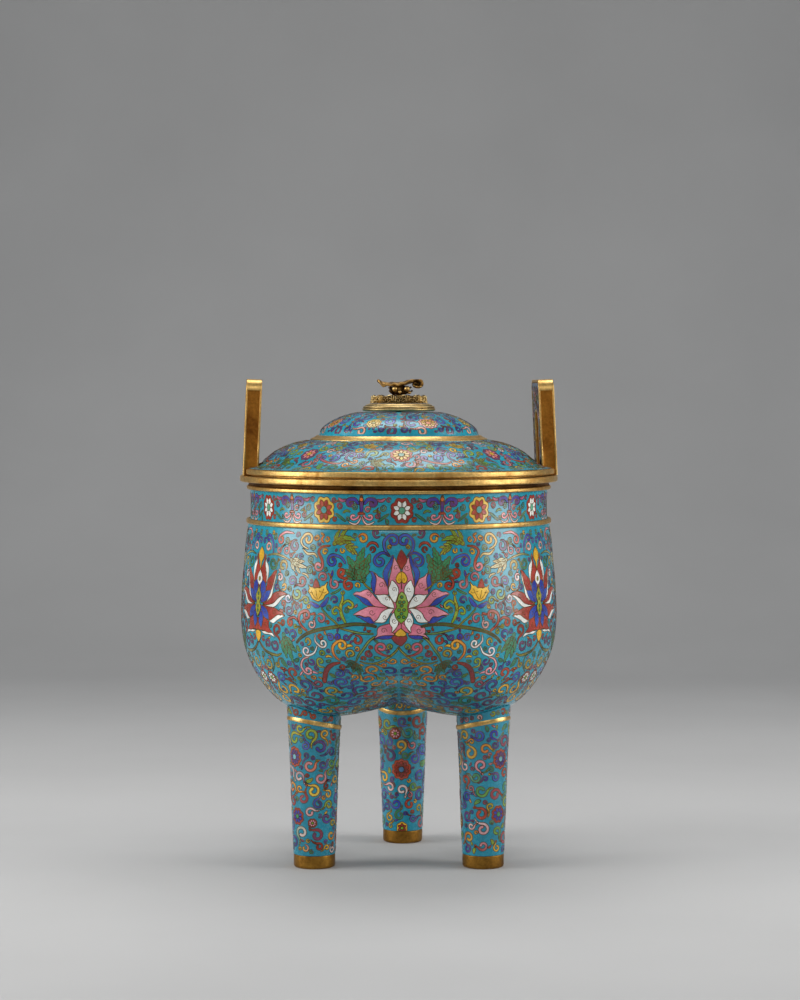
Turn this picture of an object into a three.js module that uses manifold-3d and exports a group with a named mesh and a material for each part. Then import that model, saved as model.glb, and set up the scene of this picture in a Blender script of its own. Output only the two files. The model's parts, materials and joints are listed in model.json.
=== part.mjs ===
// Lidded tripod incense burner, cloisonne enamel on gilt bronze.
// Millimetres, +Z up, origin on the floor at the vessel's axis. The front is -Y.
import * as THREE from 'three';
import { mergeVertices } from 'three/addons/utils/BufferGeometryUtils.js';
import Module from 'manifold-3d';

const wasm = await Module();
wasm.setup();

// ---------------------------------------------------------------- dimensions
const GAP = 0.3;                 // clearance between touching pieces
const WALL = 3.5;                // metal and enamel of the bowl
const BODY_SEG = 48;             // steps round the bowl and its rings
const LOBE_POWER = 1.5;          // how narrow the clefts between the lobes are

// profile over a leg and profile in a cleft, top to bottom: radius, height
const LOBE = [[149.2, 335], [151.8, 318], [153.6, 300], [155.3, 282], [156.8, 264], [157.6, 247],
  [157.0, 230], [154.6, 214], [150.2, 199], [144, 185.5], [136, 173.5], [126.5, 163.5], [115.5, 156],
  [103, 151], [88, 148.6], [70, 149], [50, 151.3], [27, 153.8], [0, 155]];
const CLEFT = [[149.2, 335], [151.8, 318], [153.6, 300], [155.3, 282], [156.8, 264], [157.2, 247],
  [154.6, 231], [149, 218], [140, 207.5], [128, 198.5], [114, 190.5], [99, 183], [84, 176],
  [69, 169.8], [54, 164.5], [40, 160.5], [27, 157.6], [14, 155.8], [0, 155]];
const NECK_OUT = [[147.3, 368.7], [146.6, 358], [146.7, 345], [147.4, 338.5]];
const NECK_IN_R = 143.4;

const MOUTH_IN_R = 136;          // inner edge of the flange
const FLANGE_R = 157.5;
const FLANGE_TOP = 382.5;
const FLANGE_BOTTOM = 376.6;

const LEG_CIRCLE_R = 95.5;
const LEG_AZIMUTH = { leg_left: -60, leg_right: 60, leg_rear: 177.6 };   // from the front towards +X; the rear leg is set a little off line
const LEG_PROFILE = [[20.6, 13.2], [22.4, 60], [23.8, 100], [25.8, 140], [27.4, 175]];
const LEG_WALL = 2.6;
const LEG_SEG = 24;
const RING_Z = 141.6;
const RING_TILT = 12.5;          // degrees, outer side higher
const RING_H = 4.4;
const FOOT_R = 20.3;
const FOOT_H = 12.9;

const HANDLE_TURN = 3.6;         // degrees about Z, both handles
const HANDLE_LEAN = 2.5;         // degrees, tops inward
const HANDLE_MID_R = 147.25;
const HANDLE_T = 15.4;
const HANDLE_W = 62;
const HANDLE_TOP = 477.2;
const HANDLE_ARCH_R = 13;        // half-width of the opening
const HANDLE_ARCH_TOP = 445.5;
const HANDLE_BORDER = 3;
const PANEL_DEPTH = 1.5;
const PANEL_T = 1.2;
const PEG = 5;

const NOTCH_R = 134.7;           // lid cut-outs that clear the leaning handles
const NOTCH_W = 64.4;
const LID_IN_R = 129.5;
const LID_BAND_R = 155;
const LID_BAND_TOP = 389.5;
const STEM_HOLE_R = 2.8;
const BOLT_R = 2.5;

const ENAMEL = { color: 0x1f93ad, roughness: 0.28, metalness: 0.0 };
const DARK_ENAMEL = { color: 0x1c3c5c, roughness: 0.3, metalness: 0.0 };
const GILT = { color: 0xb98638, roughness: 0.38, metalness: 1.0 };
const BRASS = { color: 0x9a7434, roughness: 0.5, metalness: 1.0 };

// ---------------------------------------------------------------- solids
const rad = THREE.MathUtils.degToRad;

function toSolid(geometry) {
  const g = geometry.clone();
  for (const name of Object.keys(g.attributes)) if (name !== 'position') g.deleteAttribute(name);
  const m = mergeVertices(g, 1e-4);
  const pos = m.attributes.position.array;
  const idx = m.index.array;
  const tri = [];
  for (let i = 0; i < idx.length; i += 3) {
    const [a, b, c] = [idx[i], idx[i + 1], idx[i + 2]];
    if (a !== b && b !== c && a !== c) tri.push(a, b, c);
  }
  let volume = 0;
  const p = (k) => new THREE.Vector3(pos[3 * k], pos[3 * k + 1], pos[3 * k + 2]);
  for (let i = 0; i < tri.length; i += 3) volume += p(tri[i]).dot(p(tri[i + 1]).cross(p(tri[i + 2])));
  if (volume < 0) for (let i = 0; i < tri.length; i += 3) [tri[i + 1], tri[i + 2]] = [tri[i + 2], tri[i + 1]];
  return new wasm.Manifold(new wasm.Mesh({
    numProp: 3, vertProperties: new Float32Array(pos), triVerts: new Uint32Array(tri),
  }));
}

function toGeometry(solid) {
  const mesh = solid.getMesh();
  const n = mesh.vertProperties.length / mesh.numProp;
  const pos = new Float32Array(3 * n);
  for (let i = 0; i < n; i++) for (let k = 0; k < 3; k++) pos[3 * i + k] = mesh.vertProperties[i * mesh.numProp + k];
  const g = new THREE.BufferGeometry();
  g.setAttribute('position', new THREE.BufferAttribute(pos, 3));
  g.setIndex(new THREE.BufferAttribute(new Uint32Array(mesh.triVerts), 1));
  g.computeVertexNormals();
  return g;
}

// a closed profile, or one from axis to axis, turned about Z
function turned(profile, segments, close = true) {
  const points = profile.map(([r, z]) => new THREE.Vector2(r, z));
  if (close) points.push(points[0].clone());
  return new THREE.LatheGeometry(points, segments).rotateX(Math.PI / 2);
}
const ring = (profile, segments) => toSolid(turned(profile, segments, true));
const spun = (profile, segments) => toSolid(turned(profile, segments, false));

function box(x0, x1, y0, y1, z0, z1) {
  const g = new THREE.BoxGeometry(x1 - x0, y1 - y0, z1 - z0);
  g.translate((x0 + x1) / 2, (y0 + y1) / 2, (z0 + z1) / 2);
  return g;
}

// ---------------------------------------------------------------- the lobed bowl
const lobeCurve = new THREE.SplineCurve(LOBE.map(([r, z]) => new THREE.Vector2(r, z)));
const cleftCurve = new THREE.SplineCurve(CLEFT.map(([r, z]) => new THREE.Vector2(r, z)));

// azimuth 0 is the front cleft; legs stand at 60, 180 and 300 degrees
function bowl(t, azimuth, out) {
  const s = Math.pow((1 - Math.cos(3 * (azimuth - Math.PI / 3))) / 2, LOBE_POWER);
  const a = lobeCurve.getPoint(t);
  const b = cleftCurve.getPoint(t);
  const r = a.x * (1 - s) + b.x * s;
  const z = a.y * (1 - s) + b.y * s;
  return out.set(r * Math.sin(azimuth), -r * Math.cos(azimuth), z);
}

function bowlOffset(t, azimuth, d) {
  if (t > 0.9999) return new THREE.Vector3(0, 0, LOBE[LOBE.length - 1][1] - d);
  const e = 1e-3;
  const t0 = Math.max(0, t - e);
  const t1 = Math.min(1, t + e);
  const dt = bowl(t1, azimuth, new THREE.Vector3()).sub(bowl(t0, azimuth, new THREE.Vector3()));
  const da = bowl(t, azimuth + e, new THREE.Vector3()).sub(bowl(t, azimuth - e, new THREE.Vector3()));
  const n = da.cross(dt).normalize();
  const p = bowl(t, azimuth, new THREE.Vector3());
  if (n.dot(new THREE.Vector3(p.x, p.y, p.z - 290)) < 0) n.negate();
  return p.addScaledVector(n, d);
}

const T_OUT = [0, 0.14, 0.25, 0.33, 0.4, 0.47, 0.54, 0.61, 0.68, 0.76, 0.84, 0.92];
const T_IN = [0, 0.25, 0.38, 0.48, 0.58, 0.68, 0.8, 0.92];

// rows of [t, offset] or fixed [radius, height], all joined by a turned grid
function lobed(rows) {
  const geometry = new THREE.LatheGeometry(rows.map(() => new THREE.Vector2(1, 0)), BODY_SEG);
  const pos = geometry.attributes.position;
  for (let i = 0; i <= BODY_SEG; i++) {
    const azimuth = (2 * Math.PI * (i % BODY_SEG)) / BODY_SEG;
    rows.forEach((row, j) => {
      const p = row.t !== undefined
        ? bowlOffset(row.t, azimuth, row.d)
        : new THREE.Vector3(row.r * Math.sin(azimuth), -row.r * Math.cos(azimuth), row.z);
      pos.setXYZ(i * rows.length + j, p.x, p.y, p.z);
    });
  }
  return toSolid(geometry);
}

function bodyShell() {
  const rows = NECK_OUT.map(([r, z]) => ({ r, z }));
  for (const t of T_OUT) rows.push({ t, d: 0 });
  rows.push({ t: 1, d: 0 }, { t: 1, d: -WALL });
  for (const t of [...T_IN].reverse()) rows.push(t === 0 ? { r: 145.7, z: 335 } : { t, d: -WALL });
  rows.push({ r: NECK_IN_R, z: 341 }, { r: NECK_IN_R, z: 368.7 }, { ...rows[0] });
  return lobed(rows);
}

// the filled bowl, a little larger, that cuts the tops of the legs
function bowlCutter() {
  const rows = [{ r: 0, z: 335.3 }, { r: 149.5, z: 335.3 }];
  for (const t of T_OUT) rows.push({ t, d: GAP });
  rows.push({ t: 1, d: GAP });
  return lobed(rows);
}

// ---------------------------------------------------------------- pieces
const burner = new THREE.Group();
const materials = { ENAMEL, DARK_ENAMEL, GILT, BRASS };

function piece(name, solid, kind, parent = burner) {
  const mesh = new THREE.Mesh(toGeometry(solid), new THREE.MeshStandardMaterial(materials[kind]));
  mesh.name = name;
  parent.add(mesh);
  return mesh;
}

// vessel
piece('body_shell', bodyShell(), 'ENAMEL');
piece('neck_fillet', ring([[149.8, 335.4], [151.2, 336.2], [151.3, 338.8], [150.0, 340.3], [147.5, 340.0]], BODY_SEG), 'GILT');
piece('mouth_band', ring([[143.4, 369], [150.3, 369], [150.7, 369.6], [150.7, 372.2],
  [148.7, 374.0], [150.6, 376.3], [143.4, 376.3]], BODY_SEG), 'GILT');

const pegCentres = [[HANDLE_MID_R, -22], [HANDLE_MID_R, 22]];
let flange = ring([[MOUTH_IN_R, FLANGE_BOTTOM], [156.7, FLANGE_BOTTOM], [FLANGE_R, 377.5], [FLANGE_R, 381.5],
  [156.6, FLANGE_TOP], [MOUTH_IN_R, FLANGE_TOP]], BODY_SEG);
for (const side of [0, 180]) {
  for (const [x, y] of pegCentres) {
    const h = PEG / 2 + GAP;
    const hole = box(x - h, x + h, y - h, y + h, 370, 390).rotateZ(rad(HANDLE_TURN + side));
    flange = flange.subtract(toSolid(hole));
  }
}
piece('mouth_flange', flange, 'GILT');

// legs, their gilt rings and foot ferrules
const cutter = bowlCutter();
for (const [name, azimuth] of Object.entries(LEG_AZIMUTH)) {
  const side = name.slice(4);
  const station = new THREE.Group();          // at the leg circle, local -Y outward
  station.rotation.z = rad(azimuth);
  burner.add(station);
  const place = new THREE.Group();
  place.position.y = -LEG_CIRCLE_R;
  station.add(place);

  const out = LEG_PROFILE.map(([r, z]) => [r, z]);
  const inn = LEG_PROFILE.map(([r, z]) => [r - LEG_WALL, z]).reverse();
  inn[inn.length - 1][0] = 18.2;
  const tube = turned([...out, ...inn], LEG_SEG);
  tube.translate(0, -LEG_CIRCLE_R, 0).rotateZ(rad(azimuth));
  const leg = toGeometry(toSolid(tube).subtract(cutter));
  leg.rotateZ(-rad(azimuth)).translate(0, LEG_CIRCLE_R, 0);
  const legMesh = new THREE.Mesh(leg, new THREE.MeshStandardMaterial(ENAMEL));
  legMesh.name = name;
  place.add(legMesh);

  const disc = turned([[0, -RING_H / 2], [26.7, -RING_H / 2], [27.4, 0], [26.7, RING_H / 2], [0, RING_H / 2]], LEG_SEG, false);
  disc.scale(1, 1 / Math.cos(rad(RING_TILT)), 1).rotateX(-rad(RING_TILT)).translate(0, 0, RING_Z);
  const core = turned([[0, 100], ...LEG_PROFILE.slice(2).map(([r, z]) => [r + GAP, z]), [0, 175]], LEG_SEG, false);
  piece(`leg_ring_${side}`, toSolid(disc).subtract(toSolid(core)), 'GILT', place);

  piece(`foot_${side}`, spun([[0, 0], [18.8, 0], [19.9, 0.9], [FOOT_R, 2.6], [FOOT_R, FOOT_H], [17.4, FOOT_H], [17.0, 19.4], [0, 19.4]], LEG_SEG), 'GILT', place);
}

// handles: upright loops, rounded at the shoulders, with enamel plates let into both faces
function loopShape(half, top, corner, arch, archTop, bottom) {
  const s = new THREE.Shape();
  s.moveTo(-half, bottom);
  s.lineTo(-arch, bottom);
  s.lineTo(-arch, archTop - arch);
  s.absarc(0, archTop - arch, arch, Math.PI, 0, true);
  s.lineTo(arch, bottom);
  s.lineTo(half, bottom);
  s.lineTo(half, top - corner);
  s.absarc(half - corner, top - corner, corner, 0, Math.PI / 2, false);
  s.lineTo(-half + corner, top);
  s.absarc(-half + corner, top - corner, corner, Math.PI / 2, Math.PI, false);
  s.lineTo(-half, bottom);
  return s;
}
const upright = new THREE.Matrix4().makeBasis(
  new THREE.Vector3(0, 1, 0), new THREE.Vector3(0, 0, 1), new THREE.Vector3(1, 0, 0));
function plate(shape, x0, x1) {
  const g = new THREE.ExtrudeGeometry(shape, { depth: x1 - x0, bevelEnabled: false, curveSegments: 5 });
  g.applyMatrix4(upright).translate(x0, 0, 0).rotateY(-rad(HANDLE_LEAN));
  return toSolid(g);
}
const H = HANDLE_TOP - FLANGE_TOP - GAP;
const AT = HANDLE_ARCH_TOP - FLANGE_TOP - GAP;
const half = HANDLE_T / 2;
const B = HANDLE_BORDER;
const frameShape = loopShape(HANDLE_W / 2, H, 10, HANDLE_ARCH_R, AT, -4);
const recessShape = loopShape(HANDLE_W / 2 - B, H - B, 7.5, HANDLE_ARCH_R + B, AT + B, 4);
const panelShape = loopShape(HANDLE_W / 2 - B - GAP, H - B - GAP, 7.3, HANDLE_ARCH_R + B + GAP, AT + B + GAP, 4 + GAP);
let handleSolid = plate(frameShape, -half, half)
  .subtract(toSolid(box(-40, 40, -60, 60, -20, 0)))
  .subtract(plate(recessShape, half - PANEL_DEPTH, half + 5))
  .subtract(plate(recessShape, -half - 5, -half + PANEL_DEPTH));
for (const [, y] of pegCentres) {
  const h = PEG / 2 + GAP;
  handleSolid = handleSolid.subtract(toSolid(box(-h, h, y - h, y + h, -2, 12)));
}
for (const [side, turn] of [['right', HANDLE_TURN], ['left', HANDLE_TURN + 180]]) {
  const station = new THREE.Group();
  station.rotation.z = rad(turn);
  burner.add(station);
  const place = new THREE.Group();
  place.position.set(HANDLE_MID_R, 0, FLANGE_TOP + GAP);
  station.add(place);
  piece(`handle_${side}`, handleSolid, 'GILT', place);
  piece(`handle_panel_outer_${side}`, plate(panelShape, half - PANEL_DEPTH + GAP, half - PANEL_DEPTH + GAP + PANEL_T), 'DARK_ENAMEL', place);
  piece(`handle_panel_inner_${side}`, plate(panelShape, -half + PANEL_DEPTH - GAP - PANEL_T, -half + PANEL_DEPTH - GAP), 'DARK_ENAMEL', place);
  pegCentres.forEach(([, y], i) => {
    const peg = toSolid(box(-PEG / 2, PEG / 2, y - PEG / 2, y + PEG / 2, FLANGE_BOTTOM - FLANGE_TOP, 11.6));
    piece(`handle_peg_${side}_${i + 1}`, peg, 'BRASS', place);
  });
}

// lid
function notched(solid) {
  let s = solid;
  for (const side of [0, 180]) {
    s = s.subtract(toSolid(box(NOTCH_R, 175, -NOTCH_W / 2, NOTCH_W / 2, 375, 445).rotateZ(rad(HANDLE_TURN + side))));
  }
  return s;
}
const lidOut = [[152.6, LID_BAND_TOP + GAP], [147.2, 391.2], [138, 395.0], [131, 399.8], [119, 408.1],
  [110.5, 412.2], [103, 414.6], [95.5, 416.2], [80.2, 417.4], [78.6, 424.0], [76.2, 428.8], [71.5, 432.9],
  [56.5, 440.6], [38, 444.8], [STEM_HOLE_R, 445.4]];
const lidIn = [[STEM_HOLE_R, 441.4], [38, 440.8], [60, 434.6], [74.4, 421], [76, 416.4],
  [107, 410.0], [119, 403.6], [LID_IN_R, LID_BAND_TOP + GAP]];
piece('lid_shell', notched(ring([...lidOut, ...lidIn], BODY_SEG)), 'ENAMEL');
piece('lid_rim_band', notched(ring([[LID_IN_R, FLANGE_TOP + GAP], [150, FLANGE_TOP + GAP], [150, 384.0], [154.4, 384.0], [LID_BAND_R, 384.7],
  [LID_BAND_R, 388.6], [154.4, LID_BAND_TOP], [LID_IN_R, LID_BAND_TOP]], BODY_SEG)), 'GILT');
piece('lid_skirt', ring([[131, 371], [133.2, 371], [133.8, 371.8], [133.8, FLANGE_TOP], [131, FLANGE_TOP]], BODY_SEG), 'BRASS');
piece('lid_step_fillet', ring([[80.6, 417.75], [87.6, 417.25], [87.3, 418.9], [85.4, 419.9], [80.4, 420.3]], BODY_SEG), 'GILT');

// finial: turned base plate, scroll crown, calyx, stem, leaf and berries on one threaded rod
piece('finial_base', ring([[STEM_HOLE_R, 445.8], [33.2, 445.8], [36.0, 447.2], [36.4, 449.2], [35.0, 450.9], [31.4, 452.4], [24, 453.1], [STEM_HOLE_R, 453.1]], 28), 'GILT');
piece('finial_crown', ring([[20.5, 453.4], [29.4, 453.4], [29.0, 456.0], [29.8, 459.4], [28.6, 461.9], [26.2, 462.0], [24.0, 458.4], [20.5, 456.6]], 28), 'GILT');
piece('finial_calyx', ring([[STEM_HOLE_R, 453.4], [19.6, 453.4], [16.5, 456.6], [11.5, 458.8], [9.8, 460.2], [9.8, 461.6], [STEM_HOLE_R, 461.6]], 16), 'GILT');
piece('finial_stem', spun([[0, 467], [STEM_HOLE_R, 466.4], [STEM_HOLE_R, 461.9], [6.4, 461.9], [5.0, 464.2], [4.2, 466.6], [4.4, 469.4], [5.6, 471.0], [0, 471.0]], 12), 'GILT');

const leafSide = new THREE.Shape();
leafSide.moveTo(-21, 475.4);
leafSide.lineTo(-19.2, 472.6); leafSide.lineTo(-15, 471.5); leafSide.lineTo(-6, 471.4); leafSide.lineTo(6, 471.4);
leafSide.lineTo(14, 471.8); leafSide.lineTo(19.5, 470.6); leafSide.lineTo(24, 471.2); leafSide.lineTo(26, 474.0);
leafSide.lineTo(24.5, 476.6); leafSide.lineTo(21, 477.2); leafSide.lineTo(16, 476.3); leafSide.lineTo(8, 474.6);
leafSide.lineTo(-2, 473.8); leafSide.lineTo(-12, 474.8); leafSide.lineTo(-20.4, 476.3);
const leafPlan = new THREE.Shape();
leafPlan.moveTo(-21, 0);
leafPlan.bezierCurveTo(-18, -8, -8, -13, 4, -13);
leafPlan.bezierCurveTo(14, -13, 26, -10, 26, 0);
leafPlan.bezierCurveTo(26, 10, 14, 13, 4, 13);
leafPlan.bezierCurveTo(-8, 13, -18, 8, -21, 0);
const leafBlade = new THREE.ExtrudeGeometry(leafSide, { depth: 30, bevelEnabled: false }).translate(0, 0, -15).rotateX(Math.PI / 2);
const leafOutline = new THREE.ExtrudeGeometry(leafPlan, { depth: 12, bevelEnabled: false, curveSegments: 5 }).translate(0, 0, 468);
piece('finial_leaf', toSolid(leafBlade).intersect(toSolid(leafOutline)), 'GILT');

// berries, each on a short stalk that ends just clear of the stem
const berries = [['finial_berry_left', -3.4, -6.9, 468.1, 2.6], ['finial_berry_right', 8.4, -6.6, 468.2, 2.7],
  ['finial_bud_front', 1.2, -7.2, 464.4, 1.5], ['finial_bud_side', 10.6, -4.6, 463.9, 1.3]];
for (const [name, x, y, z, r] of berries) {
  const ball = new THREE.SphereGeometry(r, 10, 7).translate(x, y, z);
  const reach = Math.hypot(x, y);
  const tip = 6.0;
  let one = toSolid(ball);
  if (reach - tip > 0.3) {
    const stalk = new THREE.CylinderGeometry(0.6, 0.6, reach - tip, 6).rotateZ(Math.PI / 2);
    stalk.translate((reach + tip) / 2, 0, 0).rotateZ(Math.atan2(y, x)).translate(0, 0, z);
    one = one.add(toSolid(stalk));
  }
  piece(name, one, 'GILT');
}

piece('finial_rod', spun([[0, 430.5], [BOLT_R - 0.5, 430.5], [BOLT_R, 431], [BOLT_R, 465.6], [BOLT_R - 0.5, 466.1], [0, 466.1]], 12), 'BRASS');
piece('finial_washer', ring([[STEM_HOLE_R, 439.3], [11, 439.3], [11, 441.0], [STEM_HOLE_R, 441.0]], 20), 'BRASS');
piece('finial_nut', toSolid(new THREE.CylinderGeometry(7.2, 7.2, 5, 6).rotateX(Math.PI / 2).translate(0, 0, 436.5))
  .subtract(toSolid(new THREE.CylinderGeometry(STEM_HOLE_R, STEM_HOLE_R, 8, 12).rotateX(Math.PI / 2).translate(0, 0, 436.5))), 'BRASS');

export default burner;
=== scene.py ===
# Lidded tripod incense burner, cloisonne enamel on gilt bronze.
# Art is drawn as outlines in millimetres and laid on the curved walls as raised
# enamel cells with wires round them. Lengths are millimetres until a mesh is made.
import json
import math
import random

import bpy
import bmesh
import numpy as np
from mathutils import Matrix, Vector, kdtree
from mathutils.geometry import delaunay_2d_cdt

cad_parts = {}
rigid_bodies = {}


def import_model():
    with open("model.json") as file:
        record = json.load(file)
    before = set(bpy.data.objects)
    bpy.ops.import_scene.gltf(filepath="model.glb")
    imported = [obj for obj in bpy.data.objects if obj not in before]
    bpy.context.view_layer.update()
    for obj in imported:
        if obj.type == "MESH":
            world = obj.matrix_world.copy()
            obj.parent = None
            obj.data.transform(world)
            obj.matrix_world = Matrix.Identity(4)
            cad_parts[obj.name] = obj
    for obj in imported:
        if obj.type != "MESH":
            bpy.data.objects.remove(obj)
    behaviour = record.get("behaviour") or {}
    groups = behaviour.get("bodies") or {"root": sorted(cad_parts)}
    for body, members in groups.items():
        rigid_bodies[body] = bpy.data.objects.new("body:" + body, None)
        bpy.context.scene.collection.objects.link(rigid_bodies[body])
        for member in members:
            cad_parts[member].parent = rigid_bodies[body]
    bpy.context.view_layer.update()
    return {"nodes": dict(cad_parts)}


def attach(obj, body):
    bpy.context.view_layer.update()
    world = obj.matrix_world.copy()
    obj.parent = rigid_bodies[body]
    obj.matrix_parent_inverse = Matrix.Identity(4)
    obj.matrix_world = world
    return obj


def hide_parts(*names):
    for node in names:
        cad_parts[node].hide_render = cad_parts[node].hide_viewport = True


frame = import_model()
nodes = frame["nodes"]
rng = random.Random(11)
PI = math.pi


def lin(c):
    return tuple((v / 255 / 12.92) if v / 255 <= 0.04045 else ((v / 255 + 0.055) / 1.055) ** 2.4 for v in c)


# ------------------------------------------------------------------ colours
TURQ = (14, 144, 167)
PINK = (232, 156, 170)
ROSE = (212, 108, 132)
RED = (152, 40, 30)
BRICK = (172, 66, 44)
COBALT = (34, 50, 156)
BLUE = (58, 92, 176)
WHITE = (236, 238, 232)
YELLOW = (228, 176, 38)
CREAM = (222, 200, 140)
GREEN = (116, 160, 48)
DGREEN = (24, 108, 86)
MGREEN = (46, 134, 84)
OLIVE = (140, 140, 40)
BROWN = (92, 64, 24)
PURPLE = (98, 54, 100)
ORANGE = (208, 106, 44)

# ------------------------------------------------------------------ curves in the plane
def A(p):
    return np.asarray(p, float).reshape(-1, 2)


def catmull(pts, step=1.0):
    """A smooth open curve through the points, sampled about every step."""
    p = A(pts)
    if len(p) == 2:
        n = max(2, int(np.ceil(np.linalg.norm(p[1] - p[0]) / step)) + 1)
        return p[0] + (p[1] - p[0]) * np.linspace(0, 1, n)[:, None]
    q = np.vstack([2 * p[0] - p[1], p, 2 * p[-1] - p[-2]])
    out = []
    for i in range(1, len(q) - 2):
        a, b, c, d = q[i - 1], q[i], q[i + 1], q[i + 2]
        n = max(2, int(np.ceil(np.linalg.norm(c - b) / step)))
        t = np.linspace(0, 1, n, endpoint=False)[:, None]
        out.append(0.5 * (2 * b + (c - a) * t + (2 * a - 5 * b + 4 * c - d) * t * t + (3 * b - a - 3 * c + d) * t ** 3))
    out.append(p[-1:])
    return np.vstack(out)


def resample(p, step):
    d = np.linalg.norm(np.diff(p, axis=0), axis=1)
    s = np.concatenate([[0], np.cumsum(d)])
    n = max(3, int(np.ceil(s[-1] / step)) + 1)
    t = np.linspace(0, s[-1], n)
    return np.column_stack([np.interp(t, s, p[:, 0]), np.interp(t, s, p[:, 1])])


def tangents(p, closed=False):
    if closed:
        t = np.roll(p, -1, 0) - np.roll(p, 1, 0)
    else:
        t = np.gradient(p, axis=0)
    return t / np.maximum(np.linalg.norm(t, axis=1), 1e-9)[:, None]


def curl(end, direction, radius, turns, sign, inner=0.26):
    """A spiral that goes on from end in that direction. sign 1 turns clockwise on the page."""
    t = np.asarray(direction, float)
    t = t / max(np.linalg.norm(t), 1e-9)
    right = np.array([-t[1], t[0]])
    c = np.asarray(end, float) + sign * radius * right
    a0 = math.atan2(*(np.asarray(end, float) - c)[::-1])
    n = max(10, int(turns * 26))
    k = np.linspace(0, 1, n)
    th = a0 + sign * k * turns * 2 * PI
    r = radius * (1 - (1 - inner) * k ** 0.85)
    return np.column_stack([c[0] + r * np.cos(th), c[1] + r * np.sin(th)])[1:]


# ------------------------------------------------------------------ curved walls
class Wall:
    """Points of a wall from (turn, run): turn round its axis in radians, run down its face in mm."""
    step = 1.3

    def rz(self, a, s):
        raise NotImplementedError

    def place(self, a, s):
        r, z = self.rz(a, s)
        return np.column_stack([self.cx + r * np.sin(a + self.off), self.cy - r * np.cos(a + self.off), z])

    def point(self, a, s, h=0.0):
        a, s = np.asarray(a, float), np.asarray(s, float)
        e = 0.5
        r = np.maximum(self.rz(a, s)[0], 2.0)
        da = self.place(a + e / r, s) - self.place(a - e / r, s)
        ds = self.place(a, s + e) - self.place(a, s - e)
        n = np.cross(ds, da)
        n /= np.maximum(np.linalg.norm(n, axis=1), 1e-9)[:, None]
        return self.place(a, s) + n * np.asarray(h, float).reshape(-1, 1), n

    def spread(self, a0, s0, xy):
        """Local millimetres about an anchor to (turn, run)."""
        s = s0 + xy[:, 1]
        r = self.rz(np.full(len(s), a0), s)[0]
        return a0 + xy[:, 0] / np.maximum(r, 3.0), s

    def gather(self, a0, s0, a, s):
        r = self.rz(np.full(len(s), a0), s)[0]
        return np.column_stack([(a - a0) * r, s - s0])


def spline(points, t):
    """The plain Catmull-Rom curve through the points at t from 0 to 1, with its ends repeated."""
    p = np.array(points, float)
    u = np.clip(np.asarray(t, float), 0, 1) * (len(p) - 1)
    i = np.minimum(u.astype(int), len(p) - 1)
    w = (u - i)[:, None]
    a = p[np.where(i == 0, i, i - 1)]
    b = p[i]
    c = p[np.where(i > len(p) - 2, len(p) - 1, i + 1)]
    d = p[np.where(i > len(p) - 3, len(p) - 1, i + 2)]
    v0, v1 = (c - a) * 0.5, (d - b) * 0.5
    return (2 * b - 2 * c + v0 + v1) * w ** 3 + (-3 * b + 3 * c - 2 * v0 - v1) * w ** 2 + v0 * w + b


LOBE = [[149.2, 335], [151.6, 318], [153.2, 300], [154.7, 282], [156.0, 264], [156.7, 247],
        [156.3, 230], [154.6, 214], [150.2, 199], [144, 185.5], [136, 173.5], [126.5, 163.5], [115.5, 156],
        [103, 151], [88, 148.6], [70, 149], [50, 151.3], [27, 153.8], [0, 155]]
CLEFT = [[149.2, 335], [151.6, 318], [153.2, 300], [154.7, 282], [156.0, 264], [156.5, 247],
         [154.6, 231], [149, 218], [140, 207.5], [128, 198.5], [114, 190.5], [99, 183], [84, 176],
         [69, 169.8], [54, 164.5], [40, 160.5], [27, 157.6], [14, 155.8], [0, 155]]


def bowl_rz(a, t):
    s = ((1 - np.cos(3 * (a - PI / 3))) / 2) ** 1.5
    p = spline(LOBE, t) * (1 - s)[:, None] + spline(CLEFT, t) * s[:, None]
    return p[:, 0], p[:, 1]


class Bowl(Wall):
    cx = cy = off = 0.0

    def __init__(self):
        self.na, self.ns = 121, 330
        t = np.linspace(0, 1, 900)
        self.R, self.Z = np.zeros((self.na, self.ns)), np.zeros((self.na, self.ns))
        self.length = np.zeros(self.na)
        for i in range(self.na):
            a = math.radians(60 * i / (self.na - 1))
            r, z = bowl_rz(np.full(len(t), a), t)
            s = np.concatenate([[0], np.cumsum(np.hypot(np.diff(r), np.diff(z)))])
            self.length[i] = s[-1]
            q = np.arange(self.ns)
            self.R[i], self.Z[i] = np.interp(q, s, r), np.interp(q, s, z)

    def rz(self, a, s):
        d = np.degrees(a) % 120.0
        d = np.where(d > 60, 120 - d, d)
        u = np.clip(d / 60 * (self.na - 1), 0, self.na - 1.0001)
        v = np.clip(s, -40, self.ns - 1.0001)
        i, vv = u.astype(int), np.maximum(v, 0)
        j = vv.astype(int)
        fu, fv = u - i, vv - j

        def mix(T):
            return ((T[i, j] * (1 - fu) + T[i + 1, j] * fu) * (1 - fv) + (T[i, j + 1] * (1 - fu) + T[i + 1, j + 1] * fu) * fv)
        z = mix(self.Z)
        return mix(self.R) + np.where(v < 0, v * 0.12, 0), np.where(v < 0, z - v, z)


class Turned(Wall):
    def __init__(self, prof, cx=0.0, cy=0.0, off=0.0, step=1.3):
        p = catmull(prof, 0.5)
        self.s = np.concatenate([[0], np.cumsum(np.linalg.norm(np.diff(p, axis=0), axis=1))])
        self.p, self.cx, self.cy, self.off, self.step = p, cx, cy, off, step
        self.length = self.s[-1]

    def rz(self, a, s):
        return np.interp(s, self.s, self.p[:, 0]), np.interp(s, self.s, self.p[:, 1])


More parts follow.
